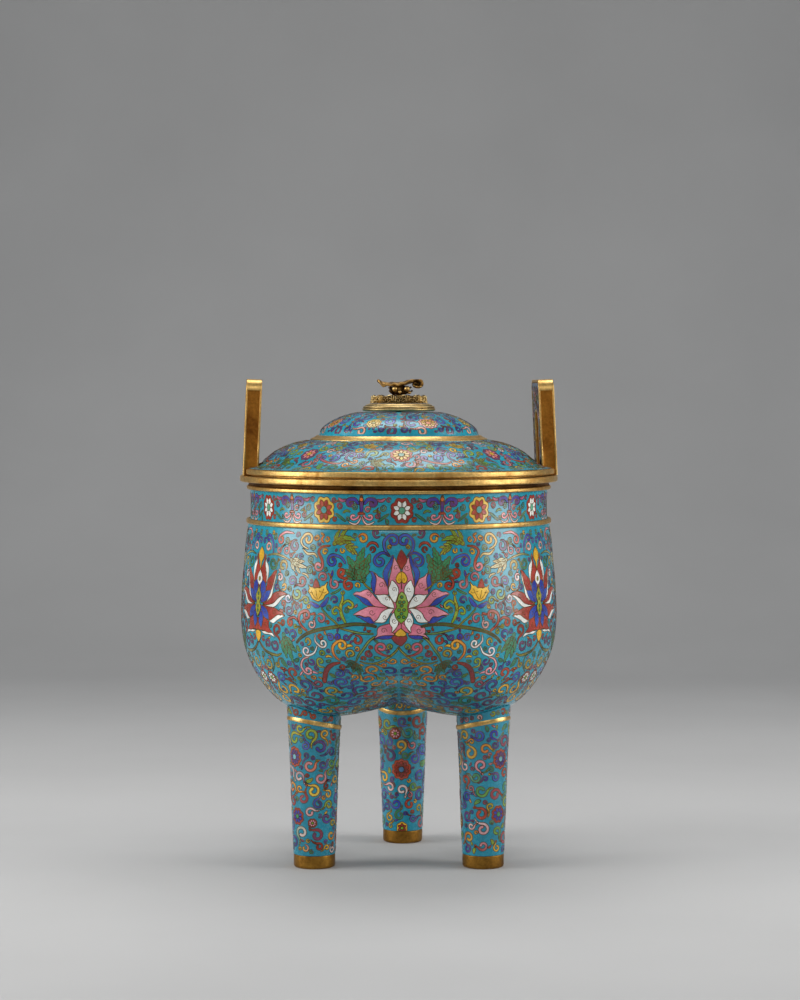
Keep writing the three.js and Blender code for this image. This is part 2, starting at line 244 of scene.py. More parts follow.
class Flat(Wall):
    """A flat plate: turn and run are millimetres along two directions."""
    def __init__(self, origin, right, down, step=1.3):
        self.o, self.e, self.d = (np.array(v, float) for v in (origin, right, down))
        self.n, self.step = np.cross(self.d, self.e), step

    def point(self, a, s, h=0.0):
        a, s = np.asarray(a, float), np.asarray(s, float)
        p = self.o + a[:, None] * self.e + s[:, None] * self.d + self.n * np.asarray(h, float).reshape(-1, 1)
        return p, np.tile(self.n, (len(a), 1))

    def rz(self, a, s):
        return np.ones(len(a)), np.zeros(len(a))

    def spread(self, a0, s0, xy):
        return a0 + xy[:, 0], s0 + xy[:, 1]

    def gather(self, a0, s0, a, s):
        return np.column_stack([a - a0, s - s0])


# the front view that the drawing was planned in: 800 by 1000, level, eye 2.55 m off
EYE_Y, EYE_Z, FOCAL, MID_X, HORIZON = 2550.0, 475.0, 2556.0, 398.8, 381.5


def seen(p):
    d = EYE_Y + p[:, 1]
    return np.column_stack([MID_X + FOCAL * p[:, 0] / d, HORIZON + FOCAL * (EYE_Z - p[:, 2]) / d])


class Front:
    """Finds the (turn, run) on a wall that shows at a place in the front view."""
    def __init__(self, wall, a_range, s_range, n=(181, 181)):
        self.wall = wall
        a, s = np.meshgrid(np.linspace(*a_range, n[0]), np.linspace(*s_range, n[1]))
        self.a, self.s = a.ravel(), s.ravel()
        p, nrm = wall.point(self.a, self.s)
        to_eye = np.array([0, -EYE_Y, EYE_Z]) - p
        ok = (nrm * to_eye).sum(1) > 0
        self.a, self.s, self.q = self.a[ok], self.s[ok], seen(p[ok])

    def __call__(self, x, y):
        i = int(((self.q - (x, y)) ** 2).sum(1).argmin())
        a, s = self.a[i], self.s[i]
        for _ in range(3):
            aa, ss = np.array([a, a + 0.004, a]), np.array([s, s, s + 0.5])
            q = seen(self.wall.point(aa, ss)[0])
            J = np.column_stack([(q[1] - q[0]) / 0.004, (q[2] - q[0]) / 0.5])
            if abs(np.linalg.det(J)) < 1.0:
                break
            d = np.linalg.solve(J, np.array([x, y]) - q[0])
            a, s = a + float(np.clip(d[0], -0.05, 0.05)), s + float(np.clip(d[1], -3, 3))
        return a, s


# ------------------------------------------------------------------ art: cells and wires
FILL_H, LAYER_H, WIRE_H, WIRE_W = 0.07, 0.12, 0.085, 0.86


class Art:
    """Cells and wires on one wall, kept as (turn, run, height) with colours and faces."""
    def __init__(self, wall):
        self.wall = wall
        self.fill, self.wire, self.marks = [], [], []
        self.scale_w = 1.0

    # frame for the shapes that follow
    def at(self, a0, s0, rot=0.0, scale=1.0, flip=False, layer=0):
        self.a0, self.s0, self.rot, self.scale, self.flip, self.layer = a0, s0, rot, scale, flip, layer
        return self

    def local(self, p):
        p = A(p) * self.scale
        if self.flip:
            p = p * (-1, 1)
        c, s = math.cos(self.rot), math.sin(self.rot)
        return np.column_stack([p[:, 0] * c - p[:, 1] * s, p[:, 0] * s + p[:, 1] * c])

    def store(self, box, xy, h, cols, faces):
        a, s = self.wall.spread(self.a0, self.s0, xy)
        box.append((np.column_stack([a, s, np.broadcast_to(h, len(a))]), cols, faces))
        return a, s

    def mark(self, xy):
        a, s = self.wall.spread(self.a0, self.s0, xy)
        self.marks.append(np.column_stack([a, s]))

    def ribbon(self, xy, closed, layer, width=None):
        w = (width or WIRE_W) * self.scale_w / 2
        step = self.wall.step
        if closed:
            q = np.vstack([xy, xy[:1]])
            q = resample(q, step)[:-1]
        else:
            q = resample(xy, step)
        if len(q) < 3:
            return
        t = tangents(q, closed)
        n = np.column_stack([-t[:, 1], t[:, 0]])
        k = len(q)
        pts = np.vstack([q - n * w, q, q + n * w])
        top = FILL_H + LAYER_H * layer + WIRE_H
        h = np.concatenate([np.full(k, top - 0.13), np.full(k, top), np.full(k, top - 0.13)])
        i = np.arange(k if closed else k - 1)
        j = (i + 1) % k
        f = np.vstack([np.column_stack([i, j, j + k, i + k]), np.column_stack([i + k, j + k, j + 2 * k, i + 2 * k])])
        self.store(self.wire, pts, h, None, f)

    def colours(self, n, col, t):
        if isinstance(col[0], (tuple, list)):
            stops = [np.array(lin(c)) for c in col]
            x = np.clip(t, 0, 1) * (len(stops) - 1)
            i = np.minimum(x.astype(int), len(stops) - 2)
            w = (x - i)[:, None]
            S = np.array(stops)
            return S[i] * (1 - w) + S[i + 1] * w
        return np.tile(np.array(lin(col)), (n, 1))

    def stroke(self, pts, w, col, sp1=None, sp0=None, layer=None, tip0=0.3, tip1=0.3, prof=None, raw=False, wire=True, bulb=0.72):
        """A stroke along the points, w wide, that may run into a spiral at either end. sp = (radius, turns, sign)."""
        layer = self.layer if layer is None else layer
        c = A(pts) if raw else catmull(pts, 0.8)
        if sp1:
            c = np.vstack([c, curl(c[-1], c[-1] - c[-3 if len(c) > 3 else 0], *sp1)])
        if sp0:
            c = np.vstack([curl(c[0], c[0] - c[2 if len(c) > 3 else -1], *sp0)[::-1], c])
        c = resample(c, 0.9 / max(self.scale, 0.3))
        d = np.concatenate([[0], np.cumsum(np.linalg.norm(np.diff(c, axis=0), axis=1))])
        L = d[-1]
        t = d / L
        if prof is None:
            hw = np.full(len(c), w / 2.0)
            k = 0.32 * L
            if not sp0:
                hw *= tip0 + (1 - tip0) * np.clip(d / k, 0, 1) ** 0.7
            if not sp1:
                hw *= tip1 + (1 - tip1) * np.clip((L - d) / k, 0, 1) ** 0.7
            rho = w * bulb
            for on, l in ((sp0, d), (sp1, L - d)):
                if on:
                    b = np.sqrt(np.maximum(rho ** 2 - (l - rho) ** 2, 0))
                    near = l < 2 * rho
                    hw = np.where(near, np.where(l < rho, b, np.maximum(b, hw)), hw)
            for on, l in ((not sp0, d), (not sp1, L - d)):
                if on:
                    e = w * 0.16
                    hw = np.where(l < e, hw * np.sqrt(np.clip(l / e, 0, 1)), hw)
        else:
            x = np.linspace(0, 1, len(prof))
            hw = np.interp(t, x, prof) * w / 2.0
        return self.ladder(c, hw, hw, col, layer, wire, t)

    def ladder(self, c, hl, hr, col, layer, wire=True, t=None):
        n = tangents(c)
        n = np.column_stack([n[:, 1], -n[:, 0]])
        left, right = c + n * hl[:, None], c - n * hr[:, None]
        m = 3 if max(hl.max(), hr.max()) * self.scale < 2.4 * self.wall.step else 5
        rows = [left + (right - left) * x for x in np.linspace(0, 1, m)]
        k = len(c)
        xy = self.local(np.vstack(rows))
        t = np.linspace(0, 1, k) if t is None else t
        cols = self.colours(k, col, t)
        cols = np.tile(cols, (m, 1))
        i = np.arange(k - 1)
        f = np.vstack([np.column_stack([i + r * k, i + 1 + r * k, i + 1 + (r + 1) * k, i + (r + 1) * k]) for r in range(m - 1)])
        self.store(self.fill, xy, FILL_H + LAYER_H * layer, cols, f)
        self.mark(xy[:: 3])
        if wire:
            loop = np.vstack([left, right[::-1]])
            self.ribbon(self.local(loop), True, layer)
        return self

    def cell(self, edges, col, layer=None, wire=True, grad=None, raw=False):
        """A cell inside the edges, each a smooth run of points, taken in turn. grad = (from, to) for a blend of colours."""
        layer = self.layer if layer is None else layer
        loop = []
        for e in edges:
            p = A(e) if raw else catmull(e, 0.9)
            loop.append(p[:-1] if np.linalg.norm(p[-1] - A(edges[(edges.index(e) + 1) % len(edges)])[0]) < 1e-6 else p)
        loop = np.vstack(loop)
        q = resample(np.vstack([loop, loop[:1]]), 1.1 / max(self.scale, 0.3))[:-1]
        xy = self.local(q)
        lo, hi = xy.min(0), xy.max(0)
        g = 2.3 * self.wall.step
        inner = []
        if (hi - lo).min() > g * 1.2:
            gx, gy = np.meshgrid(np.arange(lo[0] + g / 2, hi[0], g), np.arange(lo[1] + g / 2, hi[1], g))
            cand = np.column_stack([gx.ravel(), gy.ravel()])
            inner = cand[inside(cand, xy) & (edge_gap(cand, xy) > 0.3 * g)]
        allp = np.vstack([xy, inner]) if len(inner) else xy
        n = len(xy)
        v, _, f, _, _, _ = delaunay_2d_cdt([Vector(p) for p in allp], [], [list(range(n))], 1, 1e-5)
        if not f:
            return self
        v = np.array([(p.x, p.y) for p in v])
        if grad:
            g0, g1 = (self.local([p])[0] for p in grad)
            t = ((v - g0) @ (g1 - g0)) / max(float((g1 - g0) @ (g1 - g0)), 1e-9)
        else:
            t = np.zeros(len(v))
        tri = np.array([list(x) for x in f if len(x) == 3])
        e1, e2 = v[tri[:, 1]] - v[tri[:, 0]], v[tri[:, 2]] - v[tri[:, 0]]
        flip = e1[:, 0] * e2[:, 1] - e1[:, 1] * e2[:, 0] > 0
        tri[flip] = tri[flip][:, ::-1]
        self.store(self.fill, v, FILL_H + LAYER_H * layer, self.colours(len(v), col, t), tri)
        self.mark(v)
        if wire:
            self.ribbon(xy, True, layer)
        return self

    def line(self, pts, layer=None, width=None, raw=False):
        layer = self.layer if layer is None else layer
        p = A(pts) if raw else catmull(pts, 0.7)
        self.ribbon(self.local(p), False, layer, width)
        return self

    def swirl(self, x, y, r, a0=0.0, turns=1.2, sign=1, layer=None, width=0.72):
        turns = min(turns, 1.12)
        r = r * 1.15
        k = np.linspace(0, 1, 22)
        th = a0 + sign * k * turns * 2 * PI
        rr = r * (1 - 0.72 * k ** 0.8)
        return self.line(np.column_stack([x + rr * np.cos(th), y + rr * np.sin(th)]), layer, width, raw=True)

    def disc(self, x, y, rx, ry, col, layer=None, wire=True, lobes=0, depth=0.12, turn=0.0):
        th = np.linspace(0, 2 * PI, 40 if lobes else 22, endpoint=False)
        k = 1 - depth * (1 - np.abs(np.sin(lobes * th / 2 + turn))) if lobes else 1.0
        p = np.column_stack([x + rx * k * np.cos(th), y + ry * k * np.sin(th)])
        p = [tuple(q) for q in p]
        return self.cell([p + [p[0]]], col, layer, wire, raw=True)


def inside(p, poly):
    x, y = p[:, 0][:, None], p[:, 1][:, None]
    a, b = poly, np.roll(poly, -1, 0)
    hit = ((a[:, 1] > y) != (b[:, 1] > y)) & (x < (b[:, 0] - a[:, 0]) * (y - a[:, 1]) / np.where(b[:, 1] == a[:, 1], 1e-12, b[:, 1] - a[:, 1]) + a[:, 0])
    return hit.sum(1) % 2 == 1


def edge_gap(p, poly):
    return np.sqrt(((p[:, None, :] - poly[None, :, :]) ** 2).sum(2)).min(1)


def merged(items, keep=None):
    """One set of vertices, colours, triangles and quads out of a list."""
    V, C, T, Q, n = [], [], [], [], 0
    for v, c, f in items:
        V.append(v)
        if c is not None:
            C.append(c)
        (T if f.shape[1] == 3 else Q).append(f + n)
        n += len(v)
    return (np.vstack(V) if V else np.zeros((0, 3)), np.vstack(C) if C else None,
            np.vstack(T) if T else np.zeros((0, 3), int), np.vstack(Q) if Q else np.zeros((0, 4), int))


def turned_copies(items, turns, mirror=False):
    """Copies of art round the axis, each turned, and mirrored too if asked."""
    out = []
    for k in turns:
        for v, c, f in items:
            w = v.copy()
            w[:, 0] += k
            out.append((w, c, f))
            if mirror:
                w = v.copy()
                w[:, 0] = -w[:, 0] + k
                out.append((w, c, f[:, ::-1]))
    return out


def bake_art(name, wall, items, mat, body, cut=None):
    if not items:
        return None
    v, c, t, q = merged(items)
    p, _ = wall.point(v[:, 0], v[:, 1], v[:, 2])
    if cut is not None:
        bad = cut(p)
        t = t[~bad[t].any(1)]
        q = q[~bad[q].any(1)]
        used = np.zeros(len(p), bool)
        used[t.ravel()] = used[q.ravel()] = True
        new = np.cumsum(used) - 1
        p, t, q, v = p[used], new[t], new[q], v[used]
        c = c[used] if c is not None else None
    # faces look outward
    o = mesh(name, p, list(map(tuple, t)) + list(map(tuple, q)), [mat], body)
    if c is not None:
        col = o.data.color_attributes.new("Enamel", "FLOAT_COLOR", "POINT")
        col.data.foreach_set("color", np.column_stack([c, np.ones(len(c))]).ravel().astype(np.float32))
        o.data.color_attributes.active_color = col
    uv = o.data.uv_layers.new(name="OFBake")
    lo, hi = v[:, :2].min(0), v[:, :2].max(0)
    w = (v[:, :2] - lo) / np.maximum(hi - lo, 1e-6) * 0.998 + 0.001
    idx = np.zeros(len(o.data.loops), np.int32)
    o.data.loops.foreach_get("vertex_index", idx)
    uv.data.foreach_set("uv", w[idx].ravel().astype(np.float32))
    return o


# ------------------------------------------------------------------ meshes
def mesh(name, pts, faces, mats, body, smooth=True, mat_of=None, replaces=()):
    me = bpy.data.meshes.new(name)
    me.from_pydata((np.asarray(pts, float) * 0.001).tolist(), [], faces)
    me.validate(verbose=False)
    if smooth:
        me.polygons.foreach_set("use_smooth", [True] * len(me.polygons))
    o = bpy.data.objects.new(name, me)
    bpy.context.scene.collection.objects.link(o)
    for m in mats:
        me.materials.append(m)
    if mat_of is not None:
        me.polygons.foreach_set("material_index", list(mat_of))
    me.update()
    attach(o, body)
    if replaces:
        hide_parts(*replaces)
    return o


def outward(o):
    bm = bmesh.new()
    bm.from_mesh(o.data)
    bmesh.ops.recalc_face_normals(bm, faces=bm.faces)
    bm.to_mesh(o.data)
    bm.free()
    return o


def sharpen(o, angle=38):
    """Hard edges stay crisp, and the rest shades smooth."""
    o.data.set_sharp_from_angle(angle=math.radians(angle))
    return o


def lathe(name, prof, seg, mats, body, closed=True, centre=(0, 0), tilt=None, replaces=(), mat_rows=None, wobble=None):
    """A profile of (radius, height) turned about Z. closed joins its last point to its first."""
    p = A(prof)
    az = np.linspace(0, 2 * PI, seg, endpoint=False)
    n = len(p)
    pts, faces, mat_of, index = [], [], [], {}
    for j, (r, z) in enumerate(p):
        if r < 1e-6:
            index[j] = [len(pts)] * seg
            pts.append((0, 0, z))
        else:
            index[j] = list(range(len(pts), len(pts) + seg))
            pts.extend(np.column_stack([r * np.sin(az), -r * np.cos(az), np.full(seg, z)]).tolist())
    for j in range(n if closed else n - 1):
        k = (j + 1) % n
        for i in range(seg):
            i2 = (i + 1) % seg
            f = []
            for v in (index[j][i], index[k][i], index[k][i2], index[j][i2]):
                if v not in f:
                    f.append(v)
            if len(f) > 2:
                faces.append(tuple(f))
                mat_of.append(mat_rows[j] if mat_rows else 0)
    pts = np.array(pts)
    if wobble:
        pts = wobble(pts)
    if tilt is not None:
        pts = tilt(pts)
    pts = pts + (centre[0], centre[1], 0)
    return outward(mesh(name, pts, faces, mats, body, True, mat_of, replaces))


def rounded(prof, radius=0.35, closed=True, n=3):
    """The profile with its corners rounded."""
    p = A(prof)
    k = len(p)
    out = []
    for i in range(k):
        if not closed and i in (0, k - 1):
            out.append(p[i])
            continue
        a, b, c = p[i - 1], p[i], p[(i + 1) % k]
        u, v = a - b, c - b
        lu, lv = np.linalg.norm(u), np.linalg.norm(v)
        r = min(radius, 0.42 * lu, 0.42 * lv)
        s, e = b + u / lu * r, b + v / lv * r
        for t in np.linspace(0, 1, n + 1):
            out.append((1 - t) ** 2 * s + 2 * t * (1 - t) * b + t * t * e)
    return out


# ------------------------------------------------------------------ materials
def new_mat(name):
    m = bpy.data.materials.new(name)
    m.use_nodes = True
    nt = m.node_tree
    nt.nodes.clear()
    out = nt.nodes.new("ShaderNodeOutputMaterial")
    b = nt.nodes.new("ShaderNodeBsdfPrincipled")
    nt.links.new(b.outputs[0], out.inputs[0])
    return m, nt, b


def node(nt, kind, **sets):
    n = nt.nodes.new(kind)
    for k, v in sets.items():
        if k in n.inputs:
            n.inputs[k].default_value = v
        else:
            setattr(n, k, v)
    return n


def noise(nt, scale, detail=4.0, rough=0.55, coord=None, distortion=0.0):
    n = nt.nodes.new("ShaderNodeTexNoise")
    n.inputs["Scale"].default_value = scale
    n.inputs["Detail"].default_value = detail
    n.inputs["Roughness"].default_value = rough
    n.inputs["Distortion"].default_value = distortion
    nt.links.new(coord, n.inputs["Vector"])
    return n.outputs["Fac"]


def ramp(nt, value, stops):
    r = nt.nodes.new("ShaderNodeValToRGB")
    e = r.color_ramp.elements
    while len(e) > 1:
        e.remove(e[-1])
    for i, (p, c) in enumerate(stops):
        x = e[0] if i == 0 else e.new(p)
        x.position = p
        x.color = (c, c, c, 1) if isinstance(c, (int, float)) else (*c, 1)
    nt.links.new(value, r.inputs[0])
    return r.outputs[0]


def mixc(nt, fac, a, b, mode="MIX"):
    m = nt.nodes.new("ShaderNodeMix")
    m.data_type, m.blend_type = "RGBA", mode
    for sock, v in ((m.inputs[0], fac), (m.inputs[6], a), (m.inputs[7], b)):
        if isinstance(v, bpy.types.NodeSocket):
            nt.links.new(v, sock)
        elif isinstance(v, (int, float)):
            sock.default_value = v
        else:
            sock.default_value = (*v, 1)
    return m.outputs[2]


def math_node(nt, op, a, b=None, clamp=False):
    m = nt.nodes.new("ShaderNodeMath")
    m.operation, m.use_clamp = op, clamp
    for sock, v in zip(m.inputs, (a, b)):
        if isinstance(v, bpy.types.NodeSocket):
            nt.links.new(v, sock)
        elif v is not None:
            sock.default_value = v
    return m.outputs[0]


def bump(nt, b, height, strength, dist):
    n = nt.nodes.new("ShaderNodeBump")
    n.inputs["Strength"].default_value = strength
    n.inputs["Distance"].default_value = dist
    nt.links.new(height, n.inputs["Height"])
    nt.links.new(n.outputs[0], b.inputs["Normal"])


def enamel(name, base=None, wear=1.0, rough=0.2):
    """Ground and polished glass: mottled colour, fine pits, a clear gloss. base None takes the cell's own colour."""
    m, nt, b = new_mat(name)
    co = nt.nodes.new("ShaderNodeTexCoord").outputs["Object"]
    if base is None:
        at = nt.nodes.new("ShaderNodeAttribute")
        at.attribute_name = "Enamel"
        colour = at.outputs["Color"]
    else:
        colour = lin(base)
    big = noise(nt, 22, 3, 0.5, co)
    mid = noise(nt, 150, 4, 0.6, co)
    fine = noise(nt, 900, 3, 0.6, co)
    c = mixc(nt, 1.0, colour, ramp(nt, big, [(0.3, 0.80), (0.7, 1.16)]), "MULTIPLY")
    c = mixc(nt, 1.0, c, ramp(nt, mid, [(0.32, 0.84), (0.68, 1.12)]), "MULTIPLY")
    c = mixc(nt, 1.0, c, ramp(nt, fine, [(0.3, 0.9), (0.7, 1.07)]), "MULTIPLY")
    # pinholes that the polishing opened
    vo = nt.nodes.new("ShaderNodeTexVoronoi")
    vo.inputs["Scale"].default_value = 210
    vo.inputs["Randomness"].default_value = 1.0
    nt.links.new(co, vo.inputs["Vector"])
    gate = noise(nt, 60, 2, 0.5, co)
    few = ramp(nt, vo.outputs["Color"], [(0.70, 0.0), (0.74, 1.0)])
    pit = ramp(nt, vo.outputs["Distance"], [(0.06, 1.0), (0.125, 0.0)])
    pit = math_node(nt, "MULTIPLY", pit, few)
    pit = math_node(nt, "MULTIPLY", pit, ramp(nt, gate, [(0.42, 0.0), (0.56, 1.0)]))
    pit = math_node(nt, "MULTIPLY", pit, wear, True)
    c = mixc(nt, math_node(nt, "MULTIPLY", pit, 0.85), c, (0.012, 0.016, 0.018))
    nt.links.new(c, b.inputs["Base Color"])
    r = ramp(nt, mid, [(0.3, rough), (0.7, rough + 0.12)])
    r = math_node(nt, "ADD", r, math_node(nt, "MULTIPLY", pit, 0.5), True)
    nt.links.new(r, b.inputs["Roughness"])
    b.inputs["Specular IOR Level"].default_value = 0.5
    b.inputs["IOR"].default_value = 1.52
    b.inputs["Coat Weight"].default_value = 0.25
    b.inputs["Coat Roughness"].default_value = 0.12
    h = math_node(nt, "ADD", math_node(nt, "MULTIPLY", mid, 0.5), math_node(nt, "MULTIPLY", fine, 0.2))
    h = math_node(nt, "SUBTRACT", h, math_node(nt, "MULTIPLY", pit, 1.4))
    bump(nt, b, h, 0.22, 0.0004)
    return m


def metal(name, light, dark, rough=0.26, wear=0.5, scale=1.0, bumps=0.25, relief=False):
    """Fire gilding on bronze: bright where rubbed, brown in patches, with fine scratches and specks."""
    m, nt, b = new_mat(name)
    co = nt.nodes.new("ShaderNodeTexCoord").outputs["Object"]
    big = noise(nt, 38 * scale, 5, 0.62, co, 0.6)
    fine = noise(nt, 420 * scale, 4, 0.6, co)
    mp = nt.nodes.new("ShaderNodeMapping")
    mp.inputs["Scale"].default_value = (1, 1, 14)
    nt.links.new(co, mp.inputs["Vector"])
    brushed = noise(nt, 190, 3, 0.6, mp.outputs[0])
    k = ramp(nt, big, [(0.36 - 0.1 * wear, 1.0), (0.46, 0.45), (0.62, 0.0)])
    c = mixc(nt, k, lin(light), lin(dark))
    c = mixc(nt, 1.0, c, ramp(nt, fine, [(0.3, 0.74), (0.66, 1.1)]), "MULTIPLY")
    c = mixc(nt, 1.0, c, ramp(nt, brushed, [(0.3, 0.86), (0.7, 1.06)]), "MULTIPLY")
    vo = nt.nodes.new("ShaderNodeTexVoronoi")
    vo.inputs["Scale"].default_value = 120
    nt.links.new(co, vo.inputs["Vector"])
    few = ramp(nt, vo.outputs["Color"], [(0.78, 0.0), (0.82, 1.0)])
    spot = math_node(nt, "MULTIPLY", ramp(nt, vo.outputs["Distance"], [(0.06, 1.0), (0.16, 0.0)]), few)
    spot = math_node(nt, "MULTIPLY", spot, wear, True)
    c = mixc(nt, spot, c, lin((58, 34, 14)))
    # low Relief mixes in a dark brown: painted shade in the hollows of the cast work, with dark patina there too
    if relief:
        at = nt.nodes.new("ShaderNodeAttribute")
        at.attribute_name = "Relief"
        c = mixc(nt, ramp(nt, at.outputs["Fac"], [(0.05, 0.94), (0.25, 0.55), (0.6, 0.0)]), c, lin((52, 30, 12)))
    nt.links.new(c, b.inputs["Base Color"])
    b.inputs["Metallic"].default_value = 1.0
    r = math_node(nt, "ADD", ramp(nt, big, [(0.3, rough + 0.2), (0.65, rough)]), math_node(nt, "MULTIPLY", fine, 0.1))
    r = math_node(nt, "ADD", r, math_node(nt, "MULTIPLY", spot, 0.3), True)
    nt.links.new(r, b.inputs["Roughness"])
    h = math_node(nt, "ADD", math_node(nt, "MULTIPLY", fine, 0.5), math_node(nt, "MULTIPLY", brushed, 0.5))
    h = math_node(nt, "SUBTRACT", h, math_node(nt, "MULTIPLY", spot, 0.8))
    bump(nt, b, h, bumps, 0.0003)
    return m


M_TURQ = enamel("turquoise_ground", TURQ)
# the legs get a darker copy of the turquoise ground: painted shade for the shadow under the bowl
M_TURQ_LEG_SHADED = enamel("leg_turquoise_painted_shade", (12, 130, 154))
M_CELL = enamel("coloured_cells", None)
# the handle plates get a dark blue ground, darker than their enamel: painted shade
M_PLATE_SHADED = enamel("plate_ground_painted_shade", (20, 62, 96))
M_GILT = metal("fire_gilding", (226, 188, 116), (178, 132, 66), 0.27, 0.35)
M_WORN = metal("worn_gilding", (176, 116, 44), (124, 74, 26), 0.36, 0.5, 0.9, 0.4)
# the feet's gilding is darker than the rest: painted shade low on the legs, together with wear
M_FOOT = metal("foot_gilding", (164, 120, 50), (98, 64, 26), 0.34, 0.8)
M_CAST = metal("cast_gilding", (226, 200, 142), (176, 142, 84), 0.27, 0.2, 1.2, 0.2, True)
# darker cast gilding for the finial's stalk and leaf; on the stalk it is painted shade under the leaf
M_LEAF = metal("dark_cast_gilding", (186, 146, 84), (112, 78, 38), 0.3, 0.5, 1.2, 0.3, True)
# the wire gilding is coloured dark all over: a painted reflection of a dim room in place of the gold's own brightness
M_WIRE = metal("cloison_wire", (124, 90, 46), (46, 31, 17), 0.38, 0.3, 2.0, 0.1)
M_RAW = metal("bare_brass", (168, 124, 60), (96, 64, 30), 0.42, 0.8)
M_INNER = metal("dark_gilt_inside", (150, 104, 50), (66, 40, 18), 0.44, 0.9, 0.6, 0.4)
# the hollow of the mouth moulding under the overhanging rim is coloured dark: painted shade
M_SHADE = metal("under_rim_painted_shade", (112, 76, 34), (52, 32, 14), 0.42, 0.6, 1.0, 0.3)

# ------------------------------------------------------------------ walls
bowl = Bowl()
neck = Turned([(147.3, 368.7), (146.6, 358), (146.7, 345), (147.4, 338.5)])
LOWER = [(88.6, 417.3), (95.5, 416.2), (103, 414.6), (110.5, 412.2), (119, 408.1), (125.5, 404.0), (131, 399.8), (134.6, 397.2),
         (138, 395.0), (142.5, 392.8), (147.2, 391.2), (152.6, 389.9)]
UPPER = [(8, 445.35), (22, 445.2), (38, 444.8), (47, 443.4), (56.5, 440.6), (65, 436.8), (71.5, 432.9), (76.2, 428.8), (78.6, 424.0)]
lid_low, lid_up = Turned(LOWER), Turned(UPPER)
LEG_PROFILE = [(27.4, 175), (25.8, 140), (23.8, 100), (22.4, 60), (20.6, 13.2)]
LEG_AT = {"left": -60.0, "right": 60.0, "rear": 177.6}
legs = {}
for k, deg in LEG_AT.items():
    a = math.radians(deg)
    legs[k] = Turned(LEG_PROFILE, 95.5 * math.sin(a), -95.5 * math.cos(a), a, 1.0)

# ------------------------------------------------------------------ vessel body
def bowl_mesh():
    seg = 384
    az = np.linspace(0, 2 * PI, seg, endpoint=False)
    rows, mat_rows = [], []

    def ring(r, z):
        rows.append(np.column_stack([r * np.sin(az), -r * np.cos(az), np.full(seg, z) if np.isscalar(z) else z]))
    for r, z in [(146.9, 368.7)] + [tuple(q) for q in resample(neck.p, 1.5)] + [(148.3, 336.6)]:
        ring(r, min(z, 368.6))
    ts = np.concatenate([np.linspace(0.004, 0.25, 32), np.linspace(0.25, 0.96, 104)[1:], [0.975, 0.99]])
    for t in ts:
        r, z = bowl_rz(az, np.full(seg, t))
        ring(r, z)
    outer = len(rows)
    pts = [p for p in np.vstack(rows)]
    tip = len(pts)
    pts.append(np.array([0, 0, 155.0]))
    faces = []
    for j in range(outer - 1):
        for i in range(seg):
            i2 = (i + 1) % seg
            faces.append((j * seg + i, (j + 1) * seg + i, (j + 1) * seg + i2, j * seg + i2))
            mat_rows.append(0)
    for i in range(seg):
        faces.append(((outer - 1) * seg + i, tip, (outer - 1) * seg + (i + 1) % seg))
        mat_rows.append(0)
    # the inside, 3.5 mm in
    inner_at, first = {}, len(pts)
    t_in = np.linspace(0.03, 0.95, 60)[::-1]
    irow = []
    for t in t_in:
        e = 1e-3
        tt = np.full(seg, t)

        def P(a, u):
            r, z = bowl_rz(a, u)
            return np.column_stack([r * np.sin(a), -r * np.cos(a), z])
        n = np.cross(P(az, tt + e) - P(az, tt - e), P(az + e, tt) - P(az - e, tt))
        n /= np.linalg.norm(n, axis=1)[:, None]
        irow.append(P(az, tt) - 3.5 * n)
    for r, z in ((145.7, 335.0), (143.4, 341.0), (143.4, 368.7)):
        irow.append(np.column_stack([r * np.sin(az), -r * np.cos(az), np.full(seg, z)]))
    centre = len(pts)
    pts.append(np.array([0, 0, 158.5]))
    base = len(pts)
    for q in irow:
        pts.extend(q)
    for i in range(seg):
        faces.append((centre, base + i, base + (i + 1) % seg))
        mat_rows.append(1)
    for j in range(len(irow) - 1):
        for i in range(seg):
            i2 = (i + 1) % seg
            faces.append((base + j * seg + i, base + (j + 1) * seg + i, base + (j + 1) * seg + i2, base + j * seg + i2))
            mat_rows.append(1)
    last = base + (len(irow) - 1) * seg
    for i in range(seg):
        i2 = (i + 1) % seg
        faces.append((last + i, i, i2, last + i2))
        mat_rows.append(1)
    o = mesh("vessel_body", np.array(pts), faces, [M_TURQ, M_INNER], "vessel", True, mat_rows, ("body_shell",))
    return sharpen(outward(o), 40)


bowl_mesh()


# legs: closed tubes whose tops follow the bowl
def skin_height(x, y):
    """Lowest height of the bowl's outer skin over a point of the plan."""
    r, a = np.hypot(x, y), np.arctan2(x, -y)
    out = np.zeros(len(r))
    t = np.linspace(0.45, 1, 500)
    for i in range(len(r)):
        rr, zz = bowl_rz(np.full(len(t), a[i]), t)
        keep = np.argsort(rr)
        out[i] = np.interp(r[i], rr[keep], zz[keep])
    return out


